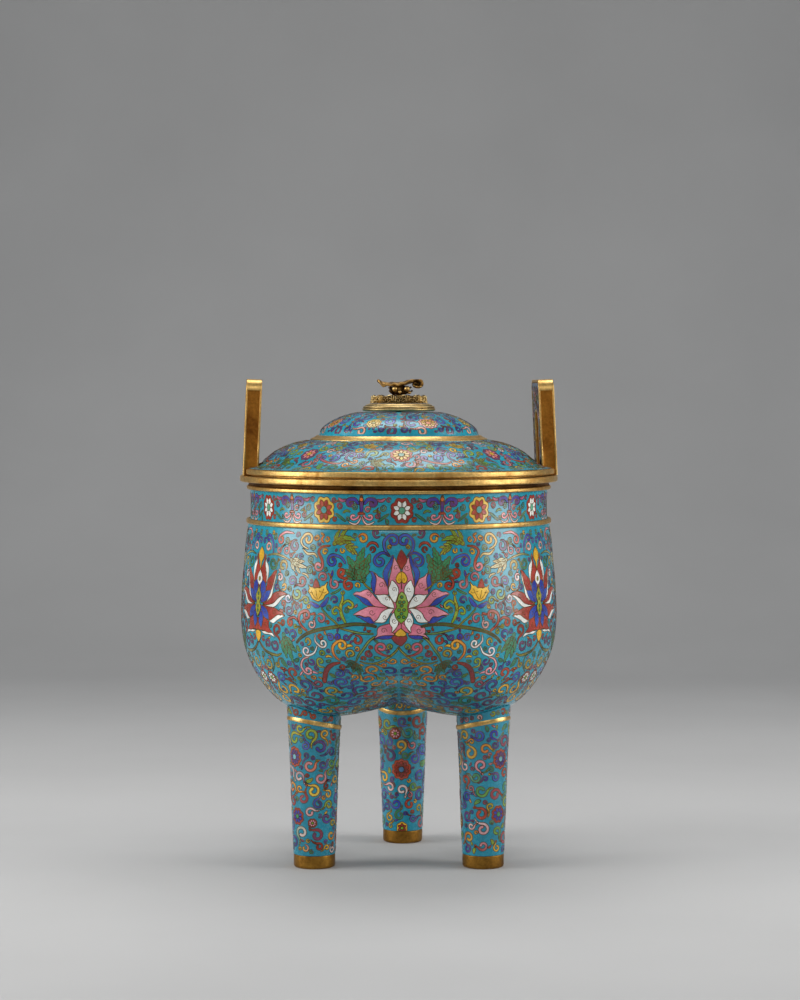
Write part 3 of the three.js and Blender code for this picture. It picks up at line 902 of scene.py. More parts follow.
def leg_mesh(side):
    w = legs[side]
    seg = 96
    az = np.linspace(0, 2 * PI, seg, endpoint=False)
    cx, cy, off = w.cx, w.cy, w.off
    rows = []
    zs = np.concatenate([np.linspace(13.2, 138, 56)])
    for z in zs:
        r = np.interp(z, w.p[::-1, 1], w.p[::-1, 0])
        rows.append(np.column_stack([cx + r * np.sin(az + off), cy - r * np.cos(az + off), np.full(seg, z)]))
    # the collar over the ring grows up to the bowl
    top_r = 26.3
    tops = skin_height(cx + top_r * np.sin(az + off), cy - top_r * np.cos(az + off)) - 0.35
    for k in np.linspace(0.12, 1, 8):
        z = 138 + (tops - 138) * k
        r = np.interp(z, w.p[::-1, 1], w.p[::-1, 0])
        rows.append(np.column_stack([cx + r * np.sin(az + off), cy - r * np.cos(az + off), z]))
    n_out = len(rows)
    inner = []
    for k in (1.0, 0.5, 0.0):
        r = 23.4 - 2.2 * (1 - k)
        z = 13.2 + (tops - 13.2) * k
        inner.append(np.column_stack([cx + r * np.sin(az + off), cy - r * np.cos(az + off), z]))
    inner[-1][:, :2] = np.column_stack([cx + 18.2 * np.sin(az + off), cy - 18.2 * np.cos(az + off)])
    rows += inner
    faces = []
    n = len(rows)
    for j in range(n):
        k = (j + 1) % n
        for i in range(seg):
            i2 = (i + 1) % seg
            faces.append((j * seg + i, j * seg + i2, k * seg + i2, k * seg + i))
    o = mesh(f"leg_enamel_{side}", np.vstack(rows), faces, [M_TURQ_LEG_SHADED], "vessel", True, None, (f"leg_{side}",))
    return sharpen(outward(o), 40)


for side in legs:
    leg_mesh(side)

# gilt rings and ferrules of the legs
for side, w in legs.items():
    th, ta = math.radians(12.5), w.off

    def tilt(p, th=th, ta=ta):
        q = p.copy()
        q[:, 1] /= math.cos(th)
        y, z = q[:, 1].copy(), q[:, 2].copy()
        q[:, 1] = y * math.cos(th) + z * math.sin(th)
        q[:, 2] = -y * math.sin(th) + z * math.cos(th) + 141.6
        c, s = math.cos(ta), math.sin(ta)
        q[:, :2] = np.column_stack([q[:, 0] * c - q[:, 1] * s, q[:, 0] * s + q[:, 1] * c])
        return q
    prof = [(25.2, -2.2), (26.2, -2.2)] + [(25.7 + 0.95 * math.cos(x) ** 0.6, 2.3 * math.sin(x)) for x in np.linspace(-1.35, 1.35, 11)] + [(26.2, 2.2), (25.2, 2.2)]
    lathe(f"leg_band_{side}", prof, 128, [M_GILT], "vessel", True, (w.cx, w.cy), tilt, (f"leg_ring_{side}",))
    prof = [(0, 0)] + rounded([(8, 0), (18.8, 0), (19.9, 0.9), (20.3, 2.6), (20.3, 12.2), (20.0, 12.9), (17.4, 12.9), (17.0, 19.4), (8, 19.4)], 0.5, False) + [(0, 19.4)]
    lathe(f"foot_cap_{side}", prof, 96, [M_FOOT], "vessel", False, (w.cx, w.cy), None, (f"foot_{side}",))

# gilt mouldings of the mouth
lathe("neck_bead", rounded([(148.8, 335.4), (150.6, 335.5), (151.2, 336.4), (151.3, 338.6), (150.6, 340.1), (147.5, 340.2)], 0.55), 240, [M_GILT], "vessel", replaces=("neck_fillet",))
moulding = rounded([(143.4, 369), (150.2, 369), (150.7, 369.7), (150.7, 371.9), (149.5, 372.8), (148.7, 374.2), (149.2, 375.5), (150.6, 376.3), (143.4, 376.3)], 0.4)
# the rows in the hollow under the rim take the painted shade
lathe("mouth_moulding", moulding, 240, [M_GILT, M_SHADE], "vessel", replaces=("mouth_band",), mat_rows=[1 if 372.5 < z and r > 148 else 0 for r, z in moulding])
lathe("mouth_rim", rounded([(136, 376.6), (156.7, 376.6), (157.5, 377.5), (157.5, 381.5), (156.6, 382.5), (136, 382.5)], 0.7), 240, [M_GILT], "vessel", replaces=("mouth_flange",))


# ------------------------------------------------------------------ lid
def cutters():
    made = []
    for side in (0, 180):
        me = bpy.data.meshes.new("cut")
        bm = bmesh.new()
        bmesh.ops.create_cube(bm, size=1.0)
        for v in bm.verts:
            v.co = Vector(((v.co.x + 0.5) * 40 + 134.7, v.co.y * 64.4, (v.co.z + 0.5) * 80 + 370)) * 0.001
        bm.to_mesh(me)
        bm.free()
        o = bpy.data.objects.new("cut", me)
        o.matrix_world = Matrix.Rotation(math.radians(3.6 + side), 4, "Z")
        bpy.context.scene.collection.objects.link(o)
        made.append(o)
    return made


def notch(o):
    for c in cutters():
        m = o.modifiers.new("cut", "BOOLEAN")
        m.operation, m.solver, m.object = "DIFFERENCE", "EXACT", c
        bpy.context.view_layer.update()
        dg = bpy.context.evaluated_depsgraph_get()
        new = bpy.data.meshes.new_from_object(o.evaluated_get(dg))
        o.modifiers.clear()
        mats = list(o.data.materials)
        o.data = new
        for i, mt in enumerate(mats):
            if i < len(new.materials):
                new.materials[i] = mt
            else:
                new.materials.append(mt)
        me = c.data
        bpy.data.objects.remove(c)
        bpy.data.meshes.remove(me)
    for c in [x for x in bpy.data.objects if x.name.startswith("cut")]:
        bpy.data.objects.remove(c)
    if len(o.data.materials) > 1:
        # the cut edges show metal
        for f in o.data.polygons:
            q = np.array([o.data.vertices[i].co for i in f.vertices]) * 1000
            for side in (0, 180):
                t = math.radians(3.6 + side)
                x = q[:, 0] * math.cos(t) + q[:, 1] * math.sin(t)
                y = np.abs(-q[:, 0] * math.sin(t) + q[:, 1] * math.cos(t))
                if x.min() > 134.6 and y.max() < 32.3 and (x.max() < 134.8 or y.min() > 32.1):
                    f.material_index = 1
    return sharpen(o, 38)


def in_notch(p, grow=0.0):
    bad = np.zeros(len(p), bool)
    for side in (0, 180):
        t = math.radians(3.6 + side)
        x = p[:, 0] * math.cos(t) + p[:, 1] * math.sin(t)
        y = -p[:, 0] * math.sin(t) + p[:, 1] * math.cos(t)
        bad |= (x > 134.7 - grow) & (np.abs(y) < 32.2 + grow)
    return bad


up_pts = [tuple(p) for p in catmull(UPPER, 1.6)]
low_pts = [tuple(p) for p in catmull(LOWER, 1.6)]
inner_lid = [(129.5, 389.8), (119, 403.6), (107, 410.0), (92, 413.2), (76, 416.4), (74.4, 421), (70, 427.6), (60, 434.6), (50, 438.6), (38, 440.8), (2.8, 441.4)]
step_pts = [tuple(q) for q in catmull([(78.5, 424.3), (79.5, 422.3), (81.4, 420.5), (84.2, 418.9), (88.6, 417.3)], 0.9)]
lid_prof = [(2.8, 445.4)] + [q for q in up_pts if q[1] > 424.6] + step_pts[:-1] + low_pts + inner_lid
rows = [0] * (len(lid_prof) - len(inner_lid)) + [1] * len(inner_lid)
notch(lathe("lid_dome", lid_prof, 240, [M_TURQ, M_INNER], "lid", replaces=("lid_shell",), mat_rows=rows))
notch(lathe("lid_rim", rounded([(129.5, 382.8), (150, 382.8), (150, 384.0), (154.2, 384.0), (155, 384.8), (155, 388.5), (154.2, 389.5), (129.5, 389.5)], 0.5), 240, [M_GILT], "lid", replaces=("lid_rim_band",)))
lathe("lid_step_bead", rounded([(79.9, 421.2), (80.3, 422.0), (81.4, 421.8), (83.6, 420.3), (86.0, 419.1), (87.9, 418.4), (88.3, 417.6), (87.4, 417.0), (80.6, 417.4)], 0.5), 220, [M_GILT], "lid", replaces=("lid_step_fillet",))


# ------------------------------------------------------------------ handles
def loop_outline(half, top, corner, arch, arch_top, bottom, nc=10, na=28, nl=10):
    out = []

    def go(a, b, n):
        for k in ([j / n for j in range(n)] if n > 0 else [0, 0.2, 0.4, 0.6, 0.8, 0.97, 0.98, 0.99] if n == 0 else [0, 0.01, 0.02, 0.03, 0.2, 0.4, 0.6, 0.8]):
            out.append((a[0] + (b[0] - a[0]) * k, a[1] + (b[1] - a[1]) * k))

    def arc(cx, cy, r, a0, a1, n):
        for k in range(n):
            t = a0 + (a1 - a0) * k / n
            out.append((cx + r * math.cos(t), cy + r * math.sin(t)))
    go((-half, bottom), (-arch, bottom), 4)
    go((-arch, bottom), (-arch, arch_top - arch), nl)
    arc(0, arch_top - arch, arch, PI, 0, na)
    go((arch, arch_top - arch), (arch, bottom), nl)
    go((arch, bottom), (half, bottom), 4)
    go((half, bottom), (half, top - corner), 0)
    arc(half - corner, top - corner, corner, 0, PI / 2, nc)
    go((half - corner, top), (-half + corner, top), nl)
    arc(-half + corner, top - corner, corner, PI / 2, PI, nc)
    go((-half, top - corner), (-half, bottom), -1)
    return np.array(out)


loop_core = A([(-14, -1), (14, -1), (14, 66), (-14, 66)])
HH, AT, LEAN, TURN, MID_R, BASE_Z = 94.4, 62.7, math.radians(2.5), math.radians(3.6), 147.25, 382.8


def handle_place(side):
    a = TURN + (0 if side == "right" else PI)
    c, s, cl, sl = math.cos(a), math.sin(a), math.cos(LEAN), math.sin(LEAN)

    def go(p):
        x, y, z = p[:, 0], p[:, 1], p[:, 2]
        x, z = x * cl - z * sl, x * sl + z * cl
        x = x + MID_R
        return np.column_stack([x * c - y * s, x * s + y * c, z + BASE_Z])
    return go


def handle_mesh(side):
    go = handle_place(side)
    half, bev, dep = 7.7, 0.8, 1.5
    outer = loop_outline(31, HH, 10, 13, AT, 0.0)
    inset = loop_outline(31 - bev, HH - bev, 10 - bev, 13 + bev, AT + bev, 0.0)
    lip = loop_outline(28 + 0.5, HH - 3 + 0.5, 8.0, 16 - 0.5, AT + 3 - 0.5, 3.5)
    rec = loop_outline(28, HH - 3, 7.5, 16, AT + 3, 4)
    n = len(outer)

    def ringpts(o, x):
        p = np.column_stack([np.full(n, x), o[:, 0], o[:, 1]])
        # nothing goes under the foot once it leans
        return p
    rings = [ringpts(rec, half - dep), ringpts(rec, half - 0.4), ringpts(lip, half)]
    for k in np.linspace(0, 1, 5):
        t = k * PI / 2
        o = outer + (inset - outer) * (1 - math.sin(t))
        rings.append(ringpts(o, half - bev * (1 - math.cos(t))))
    # the edge faces are sunk a little inside a narrow border, up to the shoulder
    d = np.diff(np.vstack([outer, outer[:1]]), axis=0)
    sunk = (np.abs(np.abs(outer[:, 0]) - 31) < 0.01) & (outer[:, 1] > 1.0) & (outer[:, 1] < HH - 10 - 1.2)
    deep = outer + (inset - outer) / bev * 0.55 * sunk[:, None]
    rings += [ringpts(outer, 6.3), ringpts(deep, 5.9), ringpts(deep, 0.0)]
    k_lip = len(rings) - 3
    rings2 = [r * (-1, 1, 1) for r in rings[:-1][::-1]]
    allr = rings + rings2
    pts = np.vstack(allr)
    faces, mats = [], []
    for j in range(len(allr) - 1):
        for i in range(n):
            i2 = (i + 1) % n
            faces.append((j * n + i, j * n + i2, (j + 1) * n + i2, (j + 1) * n + i))
            mats.append(1 if j < 2 or j > len(allr) - 4 or (k_lip < j < len(allr) - 2 - k_lip and (sunk[i] or sunk[i2] or inside(outer[i:i + 1] * 0.999, loop_core)[0])) else 0)
    v, _, f, _, _, _ = delaunay_2d_cdt([Vector(p) for p in rec], [], [list(range(n))], 1, 1e-6)
    back = (len(allr) - 1) * n
    for t in f:
        faces.append(tuple(t))
        faces.append(tuple(back + k for k in reversed(t)))
        mats += [1, 1]
    p = go(pts)
    p[:, 2] = np.maximum(p[:, 2], 382.5)
    o = mesh(f"handle_loop_{side}", p, faces, [M_GILT, M_WORN], "vessel", True, mats, (f"handle_{side}",))
    return sharpen(outward(o), 35)


def panel_mesh(side, face):
    go = handle_place(side)
    o = loop_outline(27.7, HH - 3.3, 7.3, 16.3, AT + 3.3, 4.3)
    n = len(o)
    x0, x1 = (6.5, 7.65) if face == "outer" else (-7.65, -6.5)
    top = x1 if face == "outer" else x0
    inner = []
    gx, gy = np.meshgrid(np.arange(-26, 27, 3.0), np.arange(6, 90, 3.0))
    cand = np.column_stack([gx.ravel(), gy.ravel()])
    cand = cand[inside(cand, o) & (edge_gap(cand, o) > 1.2)]
    allp = np.vstack([o, cand])
    v, _, f, _, _, _ = delaunay_2d_cdt([Vector(p) for p in allp], [], [list(range(n))], 1, 1e-6)
    v = np.array([(q.x, q.y) for q in v])
    m = len(v)
    a = np.column_stack([np.full(m, x0), v])
    b = np.column_stack([np.full(m, x1), v])
    faces = [tuple(t) for t in f] + [tuple(m + k for k in reversed(t)) for t in f]
    for i in range(n):
        i2 = (i + 1) % n
        faces.append((i, i2, m + i2, m + i))
    p = mesh(f"handle_plate_{face}_{side}", go(np.vstack([a, b])), faces, [M_PLATE_SHADED], "vessel", True, None, (f"handle_panel_{face}_{side}",))
    return sharpen(outward(p), 35)


for side in ("right", "left"):
    handle_mesh(side)
    for face in ("outer", "inner"):
        panel_mesh(side, face)

# hidden fittings keep their own shape
for name, o in nodes.items():
    if name.startswith(("handle_peg", "lid_skirt", "finial_rod", "finial_washer", "finial_nut")):
        for s in o.material_slots:
            s.material = M_RAW


# ------------------------------------------------------------------ finial
def relief_of(o, values):
    at = o.data.attributes.new("Relief", "FLOAT", "POINT")
    at.data.foreach_set("value", np.asarray(values, np.float32))


def ring_mesh(name, rows, relief, mats, replaces, angle=50):
    """A closed band out of rows of points round the axis."""
    seg, n = len(rows[0]), len(rows)
    faces = []
    for j in range(n):
        k = (j + 1) % n
        for i in range(seg):
            i2 = (i + 1) % seg
            faces.append((j * seg + i, j * seg + i2, k * seg + i2, k * seg + i))
    o = mesh(name, np.vstack(rows), faces, mats, "lid", True, None, replaces)
    relief_of(o, np.concatenate(relief))
    return sharpen(outward(o), angle)


def turn_rows(prof, seg):
    az = np.linspace(0, 2 * PI, seg, endpoint=False)
    return [np.column_stack([r * np.sin(az), -r * np.cos(az), np.full(seg, z)]) for r, z in prof]


base_prof = rounded([(2.8, 445.8), (33.6, 445.8), (35.3, 446.0), (36.2, 446.7), (36.4, 447.6), (36.0, 448.3), (35.1, 448.6), (35.1, 449.0), (35.7, 449.5), (35.4, 450.3), (34.1, 450.9), (33.3, 451.0), (33.1, 451.6), (32.2, 452.2), (30.7, 452.4), (30.4, 452.9), (29.6, 453.1), (2.8, 453.1)], 0.22)
# its two grooves get a low Relief and so turn dark: painted shade, with patina
ring_mesh("finial_plate", turn_rows(base_prof, 160), [np.full(160, 0.12 if (r > 34.6 and 448.4 < z < 449.2) or (33 < r < 33.6 and 450.8 < z < 451.5) else 0.8) for r, z in base_prof], [M_CAST], ("finial_base",), 30)


def crown():
    """A carved band: twelve split leaves with bossed rounds between them."""
    seg, count, W = 1008, 12, 7.59
    az = np.linspace(0, 2 * PI, seg, endpoint=False)
    u = (az + math.radians(11)) / (2 * PI / count)
    ax = np.abs(2 * (u - np.floor(u + 0.5))) * W
    peak = np.exp(-(ax / 4.0) ** 2)
    rows, relief = [], []
    for y in np.linspace(0, 1, 46):
        Y = y * 8.6
        rho, th = np.hypot(ax, Y + 1.4), np.arctan2(ax, Y + 1.4)
        fan = np.clip((0.5 - th) / 0.06, 0, 1) * np.clip((9.4 - rho) / 0.5, 0, 1)
        h = fan * (0.06 + 0.94 * (0.5 + 0.5 * np.cos(th * 2 * PI / 0.27)))
        h = np.maximum(h, 0.95 * np.exp(-(np.hypot(ax - W, Y - 5.7) / 0.75) ** 2))
        for cx, cy, R in ((4.7, 3.3, 2.75), (5.3, 7.2, 1.5)):
            dx, dy = ax - cx, Y - cy
            q, phi = np.hypot(dx, dy), np.arctan2(dy, dx)
            h = np.maximum(h, np.clip((R + 0.35 - q) / 0.3, 0, 1) * (0.5 + 0.5 * np.cos(2 * PI * q / (1.75 if R > 2 else 1.3) - phi)))
        h = np.maximum(h, 0.6 * np.exp(-((Y - 0.55) / 0.42) ** 2) * (0.75 + 0.25 * np.cos(ax * 4.1)))
        base = np.interp(y, [0, 0.08, 0.3, 0.7, 1], [28.4, 27.8, 27.1, 26.5, 26.3])
        r = base - 1.1 + 2.3 * h * (1 - 0.4 * math.exp(-((1 - y) / 0.04) ** 2)) + 0.8 * y ** 5 * peak
        z = 453.5 + y * (7.0 + 1.45 * peak)
        rows.append(np.column_stack([np.minimum(r, 29.75) * np.sin(az), -np.minimum(r, 29.75) * np.cos(az), z]))
        # the carving's low parts stay dark through Relief: painted shade in the recesses, with patina
        relief.append(np.clip(h, 0, 1))
    for k, (r, z) in enumerate(((25.4, 461.0), (24.6, 460.0), (23.4, 457.6), (20.6, 456.4), (20.6, 453.5))):
        up = (0.95, 0.9, 0.3, 0, 0)[k] * (1.45 * peak - 0.7)
        rows.append(np.column_stack([r * np.sin(az), -r * np.cos(az), z + up]))
        # the rows tucked under the crown's top grow darker inward: painted shade
        relief.append(np.full(seg, (0.6, 0.3, 0.1, 0.1, 0.1)[k]))
    ring_mesh("finial_petals", rows, relief, [M_CAST], ("finial_crown",), 60)


crown()


def calyx():
    seg = 240
    az = np.linspace(0, 2 * PI, seg, endpoint=False)
    rows, relief = [], []
    for r, z, k in [(2.8, 453.6, 0), (19.4, 453.6, 0), (18.9, 454.4, 1)] + [(18.2 - 1.2 * t * 7, 455.0 + 0.72 * t * 7 - 0.15 * t * t * 7, 1.0) for t in np.linspace(0.1, 1, 9)] + [(9.6, 460.4, 0.4), (9.7, 461.4, 0), (2.8, 461.4, 0)]:
        f = 1 - 0.03 * k * (1 - np.abs(np.sin(az * 6)) ** 0.7)
        lift = 0.35 * k * np.exp(-(np.sin(az * 6) / 0.16) ** 2)
        rows.append(np.column_stack([r * f * np.sin(az), -r * f * np.cos(az), np.full(seg, z) - lift]))
        # Relief falls in the notches between the lobes, which darkens them: painted shade, with patina
        relief.append(np.clip(np.abs(np.sin(az * 6)) if k else np.full(seg, 0.6), 0, 1))
    ring_mesh("finial_cup", rows, relief, [M_CAST], ("finial_calyx",), 60)


calyx()


def ball(c, r, seg=28, rows=16, squash=(1, 1, 1)):
    pts, faces = [], []
    for j in range(1, rows):
        t = PI * j / rows
        for i in range(seg):
            a = 2 * PI * i / seg
            pts.append((c[0] + squash[0] * r * math.sin(t) * math.cos(a), c[1] + squash[1] * r * math.sin(t) * math.sin(a), c[2] + squash[2] * r * math.cos(t)))
    n = len(pts)
    pts += [(c[0], c[1], c[2] + squash[2] * r), (c[0], c[1], c[2] - squash[2] * r)]
    for j in range(rows - 2):
        for i in range(seg):
            i2 = (i + 1) % seg
            faces.append((j * seg + i, (j + 1) * seg + i, (j + 1) * seg + i2, j * seg + i2))
    for i in range(seg):
        faces.append((n, i, (i + 1) % seg))
        faces.append((n + 1, (rows - 2) * seg + (i + 1) % seg, (rows - 2) * seg + i))
    return pts, faces


def swept(path, across, width, thick, seg=14):
    """A solid along the path with an oval section: width measured along the given direction, thick square to it."""
    p = np.array(path, float)
    pts, faces = [], []
    for k in range(len(p)):
        t = p[min(k + 1, len(p) - 1)] - p[max(k - 1, 0)]
        t /= np.linalg.norm(t)
        e = np.array(across[k] if np.ndim(across) == 2 else across, float)
        e = e - t * (e @ t)
        e /= np.linalg.norm(e)
        n = np.cross(t, e)
        for i in range(seg):
            a = 2 * PI * i / seg
            pts.append(tuple(p[k] + e * math.cos(a) * width[k] / 2 + n * math.sin(a) * thick[k] / 2))
    for k in range(len(p) - 1):
        for i in range(seg):
            i2 = (i + 1) % seg
            faces.append((k * seg + i, k * seg + i2, (k + 1) * seg + i2, (k + 1) * seg + i))
    faces.append(tuple(range(seg))[::-1])
    faces.append(tuple((len(p) - 1) * seg + i for i in range(seg)))
    return pts, faces


def joined(name, parts, mat, replaces, relief=None, angle=50):
    pts, faces = [], []
    for p, f in parts:
        n = len(pts)
        pts += list(map(tuple, p))
        faces += [tuple(i + n for i in q) for q in f]
    o = mesh(name, pts, faces, [mat], "lid", True, None, replaces)
    if relief is not None:
        relief_of(o, relief(np.array(pts)) if callable(relief) else relief)
    return sharpen(outward(o), angle)


def stem():
    """A short stalk in a ruff of small leaves that stand out from it."""
    prof = [(2.8, 466.0), (2.8, 461.9), (6.2, 461.9)] + [tuple(q) for q in catmull([(6.3, 462.2), (6.4, 463.2), (6.0, 464.2), (5.6, 465.4), (5.9, 466.4), (5.5, 467.4), (5.3, 468.6), (5.9, 469.8), (7.2, 471.0)], 0.35)]
    seg = 48
    rows = turn_rows(prof, seg)
    pts = np.vstack(rows + [[(0, 0, 466.4)], [(0, 0, 471.1)]])
    n = len(rows)
    faces = [(j * seg + i, j * seg + (i + 1) % seg, (j + 1) * seg + (i + 1) % seg, (j + 1) * seg + i) for j in range(n - 1) for i in range(seg)]
    a, b = len(pts) - 2, len(pts) - 1
    faces += [(a, (i + 1) % seg, i) for i in range(seg)] + [(b, (n - 1) * seg + i, (n - 1) * seg + (i + 1) % seg) for i in range(seg)]
    parts = [(pts.tolist(), faces)]
    for deg, reach, top, wide in ((88, 11.6, 469.6, 8.0), (124, 9.8, 468.8, 7.6), (160, 9.4, 469.4, 7.4), (196, 9.2, 468.6, 7.4), (232, 9.2, 469.6, 7.4), (266, 9.4, 469.2, 7.8), (-64, 9.6, 466.0, 6.2),
                                  (-14, 8.8, 464.4, 5.6), (28, 9.2, 464.2, 5.8), (70, 12.4, 465.4, 6.0), (106, 13.4, 466.0, 5.4)):
        t = math.radians(deg)
        out = np.array([math.sin(t), -math.cos(t)])
        q = spline([(4.6, 462.5), (6.2, 462.8), (6.0 + (reach - 6.0) * 0.6, 462.8 + (top - 462.8) * 0.4), (6.0 + (reach - 6.0) * 0.9, 462.8 + (top - 462.8) * 0.8), (reach, top), (reach + 1.0, top - 0.7)], np.linspace(0, 1, 22))
        k = np.linspace(0, 1, 22)
        parts.append(swept(np.column_stack([out[0] * q[:, 0], out[1] * q[:, 0], q[:, 1]]), (-out[1], out[0], 0), wide * (0.35 + 0.65 * np.sin(PI * np.clip(k * 0.9 + 0.08, 0, 1)) ** 0.7) * (1 - 0.12 * np.cos(k * 20) ** 2), 1.7 - 0.6 * k))
    # the stalk's Relief rises with height, so its gilding grows darker towards the foot: painted shade under the leaf
    joined("finial_stalk", parts, M_LEAF, ("finial_stem",), lambda p: np.clip((p[:, 2] - 463.0) / 12.0, 0.02, 0.45))


stem()
for name, x, y, z, r in (("berry_left", -3.9, -7.6, 467.7, 2.7), ("berry_right", 8.2, -7.2, 467.8, 3.0), ("bud_front", 1.2, -9.0, 464.6, 1.6), ("bud_side", 10.8, -6.4, 463.9, 1.4)):
    k = 4.6 / math.hypot(x, y)
    path = spline([(x * k, y * k, z - 2.2 if r > 2 else z - 0.6), (x * (1 + k) / 2, y * (1 + k) / 2, z - 1.2 if r > 2 else z - 0.4), (x * 0.97, y * 0.97, z - 0.4)], np.linspace(0, 1, 8))
    joined(f"finial_{name}_ball", [ball((x, y, z), r), swept(path, (0, 0, 1) if abs(x) > 0 else (1, 0, 0), [1.5] * 8, [1.3] * 8, 10)], M_GILT, (f"finial_{name}",))


def leaf():
    """A curled leaf: from its tip at the left it dips like a dish over the stem and rolls up on itself at the right."""
    path = spline([(-21.2, 475.9), (-17.6, 473.9), (-11, 472.5), (-3, 472.1), (5, 472.9), (10.6, 474.5), (15.4, 475.9), (19.4, 475.9), (22.0, 474.7), (22.9, 472.6), (21.8, 470.6), (19.0, 469.8), (16.2, 470.3), (14.8, 471.8), (15.4, 473.1), (17.4, 473.4), (19.4, 472.7), (19.0, 471.7), (17.6, 471.6)], np.linspace(0, 1, 150))
    S, V = len(path), 37
    run = np.linspace(0, 1, S)
    d = np.gradient(path, axis=0)
    d /= np.linalg.norm(d, axis=1)[:, None]
    nrm = np.column_stack([-d[:, 1], d[:, 0]])
    half = np.interp(run, [0, 0.03, 0.09, 0.18, 0.3, 0.42, 0.52, 0.62, 0.72, 0.82, 0.92, 1.0], [0.8, 3.6, 7.0, 10.4, 12.2, 12.4, 11.2, 10.2, 9.4, 8.2, 6.6, 5.4])
    lobes = 1 - 0.13 * (1 - np.abs(np.sin(PI * run * 9 + 0.4)) ** 0.7)
    thick = np.interp(run, [0, 0.05, 0.15, 0.42, 0.56, 0.7, 0.85, 1], [1.3, 2.3, 2.8, 3.0, 2.6, 2.3, 2.1, 1.6])
    v = np.linspace(-1, 1, V)
    flat = np.clip((0.56 - run) / 0.12, 0, 1)
    pts, vals = [], []
    for sgn in (1, -1):
        for i in range(S):
            y = -v * half[i] * (1 + (lobes[i] - 1) * np.abs(v) ** 2)
            edge = np.clip((1 - np.abs(v)) / 0.12, 0, 1) ** 0.6
            vein = np.maximum(np.exp(-(v * half[i] / 0.5) ** 2), 0.7 * np.abs(np.sin(PI * run[i] * 9 + 0.4 + np.abs(v) * 2.2)) ** 12 * (np.abs(v) < 0.93))
            off = sgn * (thick[i] / 2 * (0.35 + 0.65 * edge)) + sgn * 0.42 * vein * edge
            dz = flat[i] * 1.2 * v ** 2 + (0.55 if run[i] < 0.5 else 0.35) * np.sin(PI * run[i] * 18) * np.abs(v) ** 3
            side = np.clip((v - 0.35) / 0.65, 0, 1) ** 1.4
            dz -= side * (4.2 * math.exp(-((path[i, 0] + 15.6) / 3.4) ** 2) + 3.0 * math.exp(-((path[i, 0] + 8.4) / 2.8) ** 2) + 2.0 * math.exp(-((path[i, 0] + 1.2) / 2.6) ** 2) + 1.6 * math.exp(-((path[i, 0] - 6.5) / 2.8) ** 2)) * (run[i] < 0.42)
            dz -= np.clip((-v - 0.35) / 0.65, 0, 1) ** 1.4 * 3.0 * math.exp(-((path[i, 0] + 13.5) / 3.0) ** 2) * (run[i] < 0.5)
            x = path[i, 0] + nrm[i, 0] * (off + dz * (run[i] >= 0.5))
            z = path[i, 1] + nrm[i, 1] * (off + dz * (run[i] >= 0.5)) + dz * (run[i] < 0.5)
            pts.append(np.column_stack([x, y, np.minimum(z, 477.3)]))
            # only the veins and rim keep the full gilt: painted shade between the veins and under the rolled-up end,
            # with patina there too
            vals.append(np.clip(0.2 + 0.7 * vein + 0.4 * (np.abs(v) > 0.9) - 0.2 * (run[i] > 0.85), 0, 1))
    n = S * V
    faces = []
    for i in range(S - 1):
        for j in range(V - 1):
            q = (i * V + j, i * V + j + 1, (i + 1) * V + j + 1, (i + 1) * V + j)
            faces += [q, tuple(n + k for k in q[::-1])]
    rim = [i * V for i in range(S)] + [(S - 1) * V + j for j in range(1, V)] + [i * V + V - 1 for i in range(S - 2, -1, -1)] + [j for j in range(V - 2, 0, -1)]
    for a, b in zip(rim, rim[1:] + rim[:1]):
        faces.append((a, b, n + b, n + a))
    parts = [(np.vstack(pts).tolist(), faces)]
    for c, r, sq, k in (((18.5, 0, 472.2), 1.0, (2.7, 5.6, 1.9), 0.3), ((18.6, -4.6, 472.3), 1.0, (1.5, 2.6, 1.2), 0.8), ((18.6, 4.6, 472.3), 1.0, (1.5, 2.6, 1.2), 0.8)):
        parts.append(ball(c, r, 28, 16, sq))
        vals.append(np.full(len(parts[-1][0]), k))
    joined("finial_leaf_blade", parts, M_LEAF, ("finial_leaf",), np.concatenate(vals), 60)


leaf()


# ------------------------------------------------------------------ motifs
def to_local(art, view, pts):
    """Places in the front view to millimetres about their middle, which becomes the anchor."""
    q = np.array([view(*p) for p in pts])
    a0, s0 = q[:, 0].mean(), q[:, 1].mean()
    loc = art.wall.gather(a0, s0, q[:, 0], q[:, 1])
    art.at(a0, s0, layer=art.layer if hasattr(art, "layer") else 0)
    return loc


def px(art, view, pts, w, col, sp1=None, sp0=None, **kw):
    art.layer = 0
    return art.stroke(to_local(art, view, pts), w, col, sp1, sp0, **kw)


def comma(art, R, a0, turns, sign, w, col, tail=0.35):
    """A C-scroll about the anchor: a tapering tail that winds in to a round end."""
    n = max(16, int(turns * 30))
    k = np.linspace(0, 1, n)
    th = math.radians(a0) + sign * k * turns * 2 * PI
    r = R * (1 - 0.76 * k ** 0.9)
    c = np.column_stack([r * np.cos(th), r * np.sin(th)])
    rho = 0.62
    L = np.concatenate([[0], np.cumsum(np.linalg.norm(np.diff(c, axis=0), axis=1))])
    d, e = L, L[-1] - L
    hw = np.minimum(tail + (1 - tail) * np.clip(d / (0.4 * L[-1]), 0, 1), 1.0)
    b = np.sqrt(np.maximum(rho ** 2 - (e / w - rho) ** 2, 0)) / 0.5
    hw = np.where(e < rho * w, b, np.where(e < 2 * rho * w, np.maximum(b, hw), hw))
    hw *= np.sqrt(np.clip(d / (0.2 * w), 0, 1))
    hw = hw * w / 2
    return art.ladder(c, hw, hw, col, art.layer, True, k)


